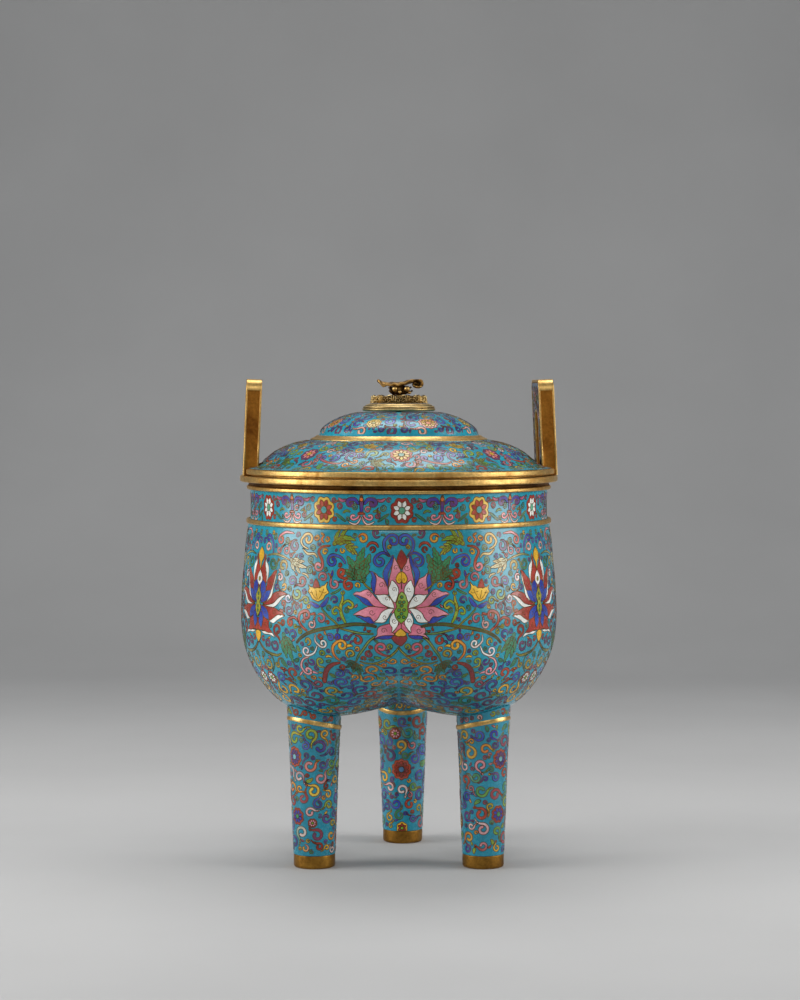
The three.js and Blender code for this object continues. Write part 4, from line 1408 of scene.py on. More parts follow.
def swell(art, pts, w, col, scallops=0, ribs=True, depth=0.28, raw=False, layer=None):
    """A leaf along the points: pointed at its end, with a scalloped edge and a vein to each notch."""
    layer = art.layer if layer is None else layer
    c = resample(A(pts) if raw else catmull(pts, 0.7), 0.75)
    t = np.linspace(0, 1, len(c))
    env = np.sin(PI * t ** 0.8) ** 0.62 * (1 - 0.25 * t)
    env[0] = env[-1] = 0.0
    if scallops:
        ph = t * scallops
        cut = 1 - depth * (1 - np.abs(np.sin(PI * ph)))
        hw = env * cut * w / 2
    else:
        hw = env * w / 2
    hw = np.maximum(hw, 0.02)
    art.ladder(c, hw, hw, col, layer, True, t)
    if ribs and w > 4:
        art.line(c[1:int(len(c) * 0.86)], layer, 0.5, raw=True)
        if scallops and w > 8.5:
            n = tangents(c)
            n = np.column_stack([n[:, 1], -n[:, 0]])
            for k in range(1, scallops):
                i = int(k / scallops * (len(c) - 1))
                j = max(0, i - int(0.10 * len(c)))
                for sg in (1, -1):
                    art.line([c[j], c[i] + sg * n[i] * hw[i] * 0.9], layer, 0.45)
    return art


def acanthus(art, pts, w, col, scallops=4):
    """A clump: a middle leaf with shorter side leaves from its foot."""
    p = resample(catmull(pts, 0.7), 1.0)
    t = tangents(p)
    L = np.linalg.norm(np.diff(p, axis=0), axis=1).sum()
    for k, sg, f in ((0.16, 1, 0.5), (0.16, -1, 0.5), (0.42, 1, 0.42), (0.42, -1, 0.42)):
        i = int(k * (len(p) - 1))
        d = t[i]
        nrm = np.array([-d[1], d[0]]) * sg
        a = p[i]
        b = a + d * L * f * 0.35 + nrm * w * 0.5
        c = a + d * L * f * 0.85 + nrm * w * 0.78
        swell(art, [a, b, c], w * 0.58, col, 4 if w > 7 else 2, w > 7, 0.42)
    swell(art, p, w * 0.84, col, scallops + 2 if w > 7 else scallops, True, 0.42, raw=True)
    return art


def trefoil(art, R, a0, cols):
    for k in range(3):
        t = math.radians(a0) + (k - 1) * 1.25
        x, y = math.cos(t), math.sin(t)
        swell(art, [(0, 0), (x * R * 0.5, y * R * 0.5), (x * R, y * R)], R * 0.62, cols[k % len(cols)], 0, False)
    art.disc(0, 0, R * 0.22, R * 0.22, YELLOW, art.layer + 1)
    return art


def rosette(art, R, n, ring, petal, core, ry=None, layer=0, petal_w=0.5):
    ry = ry or R
    art.disc(0, 0, R, ry, ring, layer, True, n, 0.16, 0.0)
    for k in range(n):
        t = 2 * PI * (k + 0.5) / n
        x, y = math.cos(t), math.sin(t) * ry / R
        col = petal[k % len(petal)] if isinstance(petal[0], tuple) else petal
        swell(art, [(x * R * 0.24, y * R * 0.24), (x * R * 0.5, y * R * 0.5), (x * R * 0.78, y * R * 0.78)], R * petal_w, col, 0, False, layer=layer + 1)
    art.disc(0, 0, R * 0.27, R * 0.27 * ry / R, core, layer + 2)
    return art


# ------------------------------------------------------------------ linked scrolls in the free places
GOLD = (204, 158, 50)
DUSTY = (200, 134, 140)
PLUM = (150, 72, 92)
NAVY = (36, 40, 104)
SAGE = (92, 146, 122)
VINE = [(PURPLE, COBALT), (COBALT, BLUE), (NAVY, PURPLE), (NAVY, COBALT), (BRICK, RED), (RED, (112, 32, 36)), (PLUM, RED), (MGREEN, DGREEN), (DGREEN, MGREEN), (OLIVE, GREEN), (GOLD, OLIVE), (GOLD, YELLOW),
        (DUSTY, PLUM), (DUSTY, (222, 190, 184)), (SAGE, MGREEN), (PURPLE, PLUM), (ORANGE, GOLD), (BLUE, NAVY)]


def branch(art, a, s, R, q, Rp, sg, col, w, turns, reach):
    """A scroll in the circle about the anchor. Its tail springs from the rim of the circle about q."""
    art.at(a, s)
    q = np.asarray(q, float)
    D = float(np.linalg.norm(q))
    u = math.atan2(q[1], q[0])
    r0 = R - w * 0.5
    mid = D - r0
    k = np.linspace(1, 0, 14)[:-1]
    th = u + PI + sg * reach * k
    rho = mid + (Rp + 0.2 - mid) * k ** 1.5
    tail = q + np.column_stack([rho * np.cos(th), rho * np.sin(th)])
    n = max(18, int(turns * 30))
    k = np.linspace(0, 1, n)
    th = u + sg * k * turns * 2 * PI
    r = r0 * (1 - 0.64 * k ** 1.1)
    c = np.vstack([tail, np.column_stack([r * np.cos(th), r * np.sin(th)])])
    return scrolled(art, c, w, col)


def scrolled(art, c, w, col, tail=0.3, full=0.3):
    """The line as a cell that starts as a point and ends in a round."""
    c = resample(c, 0.8)
    L = np.concatenate([[0], np.cumsum(np.linalg.norm(np.diff(c, axis=0), axis=1))])
    e, rho = L[-1] - L, 0.62
    hw = np.minimum(tail + (1 - tail) * np.clip(L / (full * L[-1]), 0, 1), 1.0)
    b = np.sqrt(np.maximum(rho ** 2 - (e / w - rho) ** 2, 0)) / 0.5
    hw = np.where(e < rho * w, b, np.where(e < 2 * rho * w, np.maximum(b, hw), hw))
    hw *= np.sqrt(np.clip(L / (0.5 * w), 0, 1))
    hw = hw * w / 2
    return art.ladder(c, hw, hw, col, art.layer, True, L / L[-1])


def pack_scrolls(art, a_range, s_range, radii, rnd, limit=None, fold=None, palette=VINE, room=0.3, grid=1.5, given=(), flowers=0.07):
    """Fills the free part of a wall with circles that touch what is there, large ones first, and draws one scroll in each, sprung from the scroll beside it like a vine."""
    w = art.wall
    aa, ss = [], []
    for q in np.arange(s_range[0] + 0.3, s_range[1], grid):
        r = float(w.rz(np.array([sum(a_range) / 2]), np.array([q]))[0][0])
        k = max(2, int((a_range[1] - a_range[0]) * r / grid))
        aa.append((np.arange(k) + rnd.random()) / k * (a_range[1] - a_range[0]) + a_range[0])
        ss.append(np.full(k, q + rnd.uniform(-0.3, 0.3)))
    a, s = np.concatenate(aa), np.concatenate(ss)
    P = w.point(a, s)[0]
    clear = np.minimum(s - s_range[0], s_range[1] - s)
    if fold:
        r = w.rz(a, s)[0]
        clear = np.minimum(clear, np.minimum((a - fold[0]) * r, (fold[1] - a) * r))
    if limit is not None:
        clear = np.minimum(clear, limit(P))
    if art.marks:
        m = np.vstack(art.marks)
        M = w.point(m[:, 0], m[:, 1])[0]
        tree = kdtree.KDTree(len(M))
        for i, q in enumerate(M):
            tree.insert(q, i)
        tree.balance()
        for i in np.nonzero(clear > 1.5)[0]:
            clear[i] = min(clear[i], tree.find(P[i])[2])
    else:
        tree = None
    # circles that were asked for, drawn in until they only touch, then the free ones
    ga = [(x[0], x[1], w.point(np.array([x[0]]), np.array([x[1]]))[0][0]) for x in given]
    gr = [x[2] for x in given]
    for _ in range(40):
        for i in range(len(ga)):
            for j in range(i):
                over = gr[i] + gr[j] + 0.25 - float(np.linalg.norm(ga[i][2] - ga[j][2]))
                if over > 0:
                    gr[i] -= over * 0.25
                    gr[j] -= over * 0.25
    circles = []
    for (x, y, p), R, g in zip(ga, gr, given):
        if tree:
            R = min(R, tree.find(p)[2] - 0.2)
        if R > 2.0:
            circles.append((x, y, p, R, g[3]))
            clear = np.minimum(clear, np.linalg.norm(P - p, axis=1) - R)
    for R, cap in radii:
        for _ in range(cap):
            ok = np.nonzero(clear >= R + room)[0]
            if not len(ok):
                break
            pick = ok[[rnd.randrange(len(ok)) for _ in range(min(64, len(ok)))]]
            i = int(pick[np.argmin(clear[pick])])
            circles.append((a[i], s[i], P[i], R, None))
            clear = np.minimum(clear, np.linalg.norm(P - P[i], axis=1) - R)
    if not circles:
        return art
    C = np.array([c[2] for c in circles])
    RR = np.array([c[3] for c in circles])
    N = len(circles)
    near = np.full(N, 99.0)
    parent = np.full(N, -1)
    left = np.ones(N, bool)
    tint = [None] * N

    def space(i, j, xy):
        """How much room there is about a place that only the circles i and j may touch."""
        ta, ts = w.spread(circles[i][0], circles[i][1], np.array([xy]))
        if fold and not (fold[0] + 0.003 < ta[0] < fold[1] - 0.003):
            return -1.0
        t3 = w.point(ta, ts)[0][0]
        g = np.linalg.norm(C - t3, axis=1) - RR
        g[[i, j]] = 99
        d = min(float(g.min()), ts[0] - s_range[0], s_range[1] - ts[0])
        if limit is not None:
            d = min(d, float(limit(t3[None])[0]))
        return min(d, tree.find(t3)[2]) if tree else d
    for _ in range(N):
        i = int(np.argmin(np.where(left, near, 200)))
        if near[i] > 2.6:
            i = int(np.argmax(np.where(left, RR, -1)))
            parent[i] = -1
        left[i] = False
        gap = np.linalg.norm(C - C[i], axis=1) - RR[i] - RR
        better = left & (gap < near)
        a0, s0, p, R, col = circles[i]
        j = int(parent[i])
        if col is None:
            col = (tint[j][::-1] if isinstance(tint[j][0], tuple) else tint[j]) if j >= 0 and rnd.random() < 0.35 else rnd.choice(palette)
        tint[i] = col
        wd = max(1.15, min(2.7, 0.3 * R + 0.55))
        kind = rnd.random() if circles[i][4] is None else 1.0
        if kind < flowers and R > 4.6:
            art.at(a0, s0)
            rosette(art, R * 0.94, 8, (RED, BRICK), [rnd.choice([PINK, WHITE, GOLD])], GREEN)
            near[better] = gap[better]
            parent[better] = i
            continue
        near[better] = gap[better]
        parent[better] = i
        if kind < flowers + 0.06 or R < 2.05:
            art.at(a0, s0)
            t = rnd.uniform(0, 2 * PI)
            if R < 2.05:
                d = np.array([math.cos(t), math.sin(t)])
                swell(art, [-d * R * 1.1, np.array([-d[1], d[0]]) * R * 0.35, d * R * 1.1], R * 1.05, col, 0, False)
                continue
            d = np.array([math.cos(t), math.sin(t)])
            swell(art, [-d * R * 0.95, np.array([-d[1], d[0]]) * R * 0.2, d * R * 0.95], R * 1.1, rnd.choice([(DGREEN, MGREEN), (MGREEN, GREEN), (GREEN, OLIVE)]), 4 if R > 5 else 3 if R > 3.4 else 0, R > 3.4)
            continue
        if j < 0:
            art.at(a0, s0)
            t0, sg, turns = rnd.uniform(0, 2 * PI), rnd.choice((-1, 1)), rnd.uniform(0.95, 1.15)
            k = np.linspace(0, 1, 40)
            r = (R - wd * 0.5) * (1 - 0.64 * k ** 1.1)
            th = t0 + sg * k * turns * 2 * PI
            scrolled(art, np.column_stack([r * np.cos(th), r * np.sin(th)]), wd, col)
            continue
        aj = circles[j][0]
        if not isinstance(w, Flat):
            aj += 2 * PI * round((a0 - aj) / (2 * PI))
        q = w.gather(a0, s0, np.array([aj]), np.array([circles[j][1]]))[0]
        Rp = RR[j]
        u = math.atan2(q[1], q[0])
        best = None
        for sg in (rnd.choice((-1, 1)), 0):
            for sgn in ((sg,) if sg else (1, -1)):
                for reach in (1.15, 0.8, 0.45):
                    th = u + PI + sgn * reach
                    room_at = min(space(i, j, q + (Rp + 0.5 * wd) * np.array([math.cos(th), math.sin(th)])), space(i, j, q + (Rp + 0.6 * wd) * np.array([math.cos(u + PI + sgn * reach * 0.5), math.sin(u + PI + sgn * reach * 0.5)])))
                    if room_at > 0.35 * wd and (best is None or reach > best[1]):
                        best = (sgn, reach)
            if best and best[1] > 0.7:
                break
        sg, reach = best or (rnd.choice((-1, 1)), 0.25)
        branch(art, a0, s0, R, q, Rp, sg, col, wd, rnd.uniform(0.92, 1.1), reach)
        # a barb where the scroll leaves
        th = u - sg * 0.5
        root = np.array([math.cos(th), math.sin(th)]) * R
        n = np.array([math.cos(u - sg * 0.95), math.sin(u - sg * 0.95)])
        ln = min(3.4, 0.5 * R + 0.6)
        tip = root + n * ln
        if space(i, i, tip) > 0.35 and space(i, i, (root + tip) / 2 + n * 0.2) > 0.5:
            swell(art, [root + n * 0.35, (root + tip) / 2 + np.array([-n[1], n[0]]) * 0.3 * sg, tip], 1.5 + 0.12 * R, col if rnd.random() < 0.6 else rnd.choice([GREEN, GOLD, DUSTY, BRICK]), 0, False)
    return art


# ------------------------------------------------------------------ art on the bowl
front = Front(bowl, (-1.5, 0.6), (0, 250), (260, 260))
half = Art(bowl)      # drawn on the left, mirrored and repeated
full = Art(bowl)      # flowers, repeated only


def K(*pts, m=1):
    """Drawing units of the front flower, 14 to a picture pixel, to millimetres from its middle."""
    return [((x - 725) / 14 * 0.94 * m, (y - 868) / 14 * 0.94) for x, y in pts]


def pink_lotus(art, a0, s0, p1=PINK, p2=ROSE, under=COBALT, inner=WHITE):
    art.at(a0, s0)

    def g(a, b, m):
        return (K(a, m=m)[0], K(b, m=m)[0])
    for m in (-1, 1):
        k = lambda *q: K(*q, m=m)
        # sepals beside the bud, the tall petal, then the outer ones from the top down
        art.stroke(k((846, 150), (862, 235), (908, 320), (945, 400), (936, 490), (914, 592)), 4.9, (under, BLUE, under), layer=0, prof=[0.3, 0.7, 1.0, 1.0, 0.75, 0.2])
        art.cell([k((906, 575), (888, 455), (864, 360), (850, 285), (840, 215), (822, 172)), k((822, 172), (804, 215), (778, 262), (748, 322), (728, 400)), k((728, 400), (728, 660)), k((728, 660), (820, 640), (906, 575))], (p2, p1), 0, grad=g((800, 560), (820, 200), m))
        art.swirl(*K((800, 322), m=m)[0], 2.7, 0.4, 1.5, m)
        art.cell([k((1168, 370), (1132, 378), (1098, 400), (1076, 470), (1084, 570), (1104, 694)), k((1104, 694), (1136, 622), (1150, 545), (1134, 472), (1142, 418), (1168, 370))], (under, BLUE), 0, grad=g((1110, 680), (1150, 400), m))
        art.cell([k((905, 694), (914, 612), (940, 528), (984, 474), (1046, 446), (1078, 408), (1118, 386)), k((1118, 386), (1078, 470), (1083, 570), (1104, 694)), k((1104, 694), (1000, 700), (905, 694))], (p2, p1), 0, grad=g((950, 690), (1090, 420), m))
        art.swirl(*K((1002, 566), m=m)[0], 3.0, 0.5, 1.5, m)
        art.cell([k((1392, 716), (1330, 702), (1250, 738), (1172, 790), (1112, 856)), k((1112, 856), (1200, 852), (1275, 808), (1325, 752), (1392, 716))], (under, BLUE), 0, grad=g((1120, 850), (1380, 720), m))
        art.cell([k((905, 884), (1000, 822), (1082, 742), (1140, 672), (1200, 626), (1254, 642), (1312, 668), (1362, 664), (1414, 702)), k((1414, 702), (1342, 706), (1280, 730), (1204, 762), (1142, 828), (1100, 862)), k((1100, 862), (1000, 874), (905, 884))], (p2, p1), 1, grad=g((960, 870), (1400, 700), m))
        art.swirl(*K((1186, 692), m=m)[0], 2.6, 0.9, 1.5, m, layer=1)
        art.cell([k((1372, 1004), (1312, 996), (1240, 1016), (1160, 1012), (1082, 1092)), k((1082, 1092), (1160, 1104), (1245, 1066), (1310, 1024), (1372, 1004))], (under, BLUE), 0, grad=g((1090, 1090), (1370, 1000), m))
        art.cell([k((905, 886), (1010, 876), (1110, 866), (1190, 868), (1270, 904), (1344, 944), (1412, 988)), k((1412, 988), (1320, 986), (1240, 1010), (1170, 1008), (1110, 1080)), k((1110, 1080), (1050, 1030), (1000, 950), (905, 886))], (p2, p1), 1, grad=g((960, 900), (1400, 985), m))
        art.swirl(*K((1138, 944), m=m)[0], 2.8, 0.2, 1.5, -m, layer=1)
        art.cell([k((1128, 1336), (1060, 1292), (980, 1270), (880, 1266), (818, 1270)), k((818, 1270), (880, 1312), (980, 1322), (1060, 1314), (1128, 1336))], (under, BLUE), 0)
        art.cell([k((880, 1100), (955, 1118), (1040, 1150), (1064, 1200), (1062, 1256), (1122, 1322)), k((1122, 1322), (1050, 1292), (975, 1268), (900, 1266), (818, 1262)), k((818, 1262), (850, 1180), (880, 1100))], (p2, p1), 0, grad=g((900, 1150), (1110, 1310), m))
        art.swirl(*K((972, 1200), m=m)[0], 2.8, 0.3, 1.5, m)
        art.cell([k((725, 1090), (770, 1118), (816, 1190), (856, 1240)), k((856, 1240), (785, 1218), (725, 1168)), k((725, 1168), (725, 1090))], (p2, p1), 1)
        # white petals
        art.cell([k((806, 800), (772, 700), (764, 622), (790, 560), (830, 514), (862, 488)), k((862, 488), (878, 548), (904, 612), (896, 690), (860, 760), (822, 806)), k((822, 806), (806, 800))], inner, 2)
        art.cell([k((824, 884), (836, 828), (872, 758), (920, 708), (966, 694), (1036, 704), (1088, 692)), k((1088, 692), (1064, 738), (1012, 812), (944, 852), (880, 876), (824, 884))], inner, 2)
        art.cell([k((830, 892), (882, 888), (950, 908), (1012, 958), (1048, 1028), (1104, 1084)), k((1104, 1084), (1040, 1088), (962, 1082), (918, 1030), (880, 960), (830, 892))], inner, 2)
        art.cell([k((814, 926), (862, 980), (888, 1042), (884, 1110), (852, 1160), (862, 1230)), k((862, 1230), (816, 1182), (776, 1122), (768, 1060), (782, 990), (814, 926))], inner, 2)
        for x, y, sg in ((826, 624, m), (926, 756, m), (956, 1010, -m), (826, 1062, -m)):
            art.swirl(*K((x, y), m=m)[0], 2.3, 0.6, 1.45, sg, layer=2)
        art.cell([k((728, 374), (772, 400), (806, 468), (792, 524), (752, 540), (728, 506)), k((728, 506), (728, 374))], (YELLOW, (244, 208, 90)), 2, wire=False)
    art.disc(*K((725, 880))[0], 9.4, 17.5, (p2, p1), 1, wire=False)
    art.ribbon(art.local(catmull(K((728, 374), (772, 400), (806, 468), (792, 524), (752, 540), (728, 506), (704, 540), (664, 524), (650, 468), (684, 400), (728, 374)), 0.7)), True, 2)
    for sg in (-1, 1):
        art.line(K((728 + sg * 6, 505), (728 + sg * 24, 470), (728 + sg * 44, 490), (728 + sg * 30, 506)), 2, 0.5)
    art.cell([K((728, 346), (700, 304), (672, 250), (666, 196), (690, 128), (722, 68)), K((722, 68), (768, 128), (802, 196), (794, 250), (756, 304), (728, 346))], (BRICK, RED, (120, 30, 30)), 1, grad=(K((728, 340))[0], K((724, 80))[0]))
    e1 = K((722, 1092), (668, 1050), (636, 985), (628, 920), (662, 872), (650, 820), (672, 770), (684, 712), (728, 650))
    e2 = K((728, 650), (780, 700), (800, 762), (818, 820), (804, 872), (820, 930), (806, 1000), (770, 1056), (722, 1092))
    art.cell([e1, e2], ((150, 180, 84), GREEN, (120, 170, 50)), 3, grad=(K((725, 660))[0], K((722, 1090))[0]))
    for x, y in ((728, 730), (700, 800), (756, 800), (728, 850), (690, 910), (760, 910), (725, 960), (690, 1010), (756, 1010)):
        art.disc(*K((x, y))[0], 1.5, 1.5, MGREEN, 4)
    art.cell([K((716, 1168), (772, 1214), (792, 1258), (742, 1282), (716, 1270)), K((716, 1270), (690, 1282), (636, 1258), (660, 1212), (716, 1168))], YELLOW, 2)
    art.cell([K((586, 1306), (630, 1266), (690, 1284), (716, 1272), (742, 1284), (790, 1264), (808, 1308)), K((808, 1308), (780, 1362), (722, 1428)), K((722, 1428), (640, 1376), (586, 1306))], (RED, (128, 30, 36)), 1, grad=(K((716, 1270))[0], K((722, 1420))[0]))


def K2(*pts, m=1):
    """Drawing units of the side flower, 12 to a picture pixel. It is seen edge on, so its width is opened out round the wall."""
    mid = math.asin((537.1 - MID_X) / (FOCAL * 157 / 2470))
    out = []
    for x, y in pts:
        a = math.asin(min(0.995, (500 + x / 12 - MID_X) / (FOCAL * 157 / 2470)))
        out.append(((a - mid) * 157 * m, (y - 745) / 12 * 0.965))
    return out


def red_lotus(art, a0, s0):
    art.at(a0, s0)
    for m in (-1, 1):
        k = lambda *q: K2(*q, m=m)
        kk = lambda q: K2(q, m=m)[0]
        art.cell([k((372, 150), (376, 222), (346, 272), (334, 352), (344, 440), (362, 500)), k((362, 500), (362, 410), (378, 330), (388, 250), (372, 150))], WHITE, 0)
        art.cell([k((444, 330), (410, 240), (400, 160), (386, 128)), k((386, 128), (388, 240), (374, 320), (354, 420), (368, 520), (400, 600)), k((400, 600), (430, 560), (444, 500)), k((444, 500), (444, 330))], (BRICK, RED), 0, grad=(kk((400, 560)), kk((390, 150))))
        art.cell([k((228, 318), (262, 336), (296, 388), (334, 436), (346, 500), (356, 580)), k((356, 580), (296, 566), (266, 486), (252, 404), (228, 318))], (RED, BRICK), 0, grad=(kk((340, 560)), kk((235, 330))))
        art.cell([k((228, 318), (246, 400), (262, 490), (286, 566), (330, 660), (392, 742)), k((392, 742), (310, 690), (268, 612), (258, 520), (240, 440), (228, 318))], WHITE, 1)
        art.cell([k((286, 566), (352, 582), (386, 640), (412, 730)), k((412, 730), (340, 694), (304, 630), (286, 566))], (COBALT, BLUE), 2, grad=(kk((400, 720)), kk((300, 570))))
        art.cell([k((404, 452), (424, 500), (424, 600), (412, 716)), k((412, 716), (370, 652), (356, 566), (368, 490), (404, 452))], (BLUE, COBALT), 2, grad=(kk((410, 700)), kk((400, 470))))
        art.cell([k((78, 602), (112, 578), (180, 570), (250, 598), (290, 660), (392, 742)), k((392, 742), (330, 744), (252, 716), (200, 660), (140, 616), (78, 602))], (RED, BRICK), 1, grad=(kk((360, 735)), kk((90, 600))))
        art.cell([k((78, 602), (150, 622), (204, 662), (256, 716), (330, 744), (392, 744)), k((392, 744), (290, 770), (232, 758), (188, 716), (140, 652), (78, 602))], WHITE, 0)
        art.cell([k((94, 854), (126, 822), (172, 802), (232, 772), (310, 764), (392, 748)), k((392, 748), (330, 830), (300, 922), (252, 900), (200, 856), (150, 842), (94, 854))], (RED, BRICK), 1, grad=(kk((360, 760)), kk((100, 850))))
        art.cell([k((94, 854), (152, 846), (204, 858), (254, 904), (300, 936)), k((300, 936), (240, 954), (190, 912), (148, 884), (94, 854))], WHITE, 0)
        art.cell([k((412, 756), (380, 762), (330, 800), (306, 850), (300, 916)), k((300, 916), (350, 900), (396, 840), (412, 756))], (COBALT, BLUE), 2, grad=(kk((400, 770)), kk((305, 910))))
        art.cell([k((418, 830), (384, 840), (378, 930), (400, 1028)), k((400, 1028), (432, 960), (424, 880), (418, 830))], (COBALT, BLUE), 3, grad=(kk((410, 840)), kk((400, 1020))))
        art.cell([k((300, 936), (360, 900), (400, 900), (444, 910)), k((444, 910), (444, 1064)), k((444, 1064), (380, 1052), (320, 1072), (258, 1068)), k((258, 1068), (300, 1010), (300, 936))], (BRICK, RED), 1, grad=(kk((420, 920)), kk((280, 1060))))
        art.cell([k((226, 1124), (260, 1074), (330, 1060), (406, 1068)), k((406, 1068), (360, 1096), (300, 1094), (226, 1124))], WHITE, 0)
        for x, y, r, l in ((306, 490, 2.2, 0), (196, 622, 2.4, 1), (236, 826, 2.4, 1), (350, 980, 2.4, 1), (392, 560, 1.8, 2), (350, 840, 2.0, 2)):
            art.swirl(*kk((x, y)), r, 0.5, 1.4, m, layer=l)
    art.cell([K2((444, 336), (418, 392), (410, 460), (444, 524)), K2((444, 524), (478, 460), (470, 392), (444, 336))], WHITE, 2)
    art.disc(*K2((444, 442))[0], 1.7, 2.2, OLIVE, 3)
    art.cell([K2((444, 56), (414, 120), (412, 190), (434, 240), (440, 320)), K2((440, 320), (448, 320)), K2((448, 320), (456, 240), (476, 190), (474, 120), (444, 56))], (YELLOW, (244, 196, 60)), 2)
    art.cell([K2((444, 530), (424, 592), (408, 650), (426, 720), (410, 780), (424, 850), (444, 896)), K2((444, 896), (464, 850), (478, 780), (462, 720), (480, 650), (464, 592), (444, 530))], (OLIVE, (166, 168, 60), OLIVE), 4, grad=(K2((444, 540))[0], K2((444, 890))[0]))
    for y in (620, 680, 770, 820):
        art.disc(*K2((444, y))[0], 1.3, 1.5, MGREEN, 5)
    art.cell([K2((408, 1084), (424, 1062), (444, 1056), (464, 1062), (480, 1084)), K2((480, 1084), (472, 1150), (444, 1204)), K2((444, 1204), (416, 1150), (408, 1084))], YELLOW, 2)


FRONT_AT = front(401.5, 607)
pink_lotus(full, FRONT_AT[0], FRONT_AT[1])
a_r, s_r = math.radians(60), front(257.5, 603)[1]
red_lotus(full, a_r, s_r)

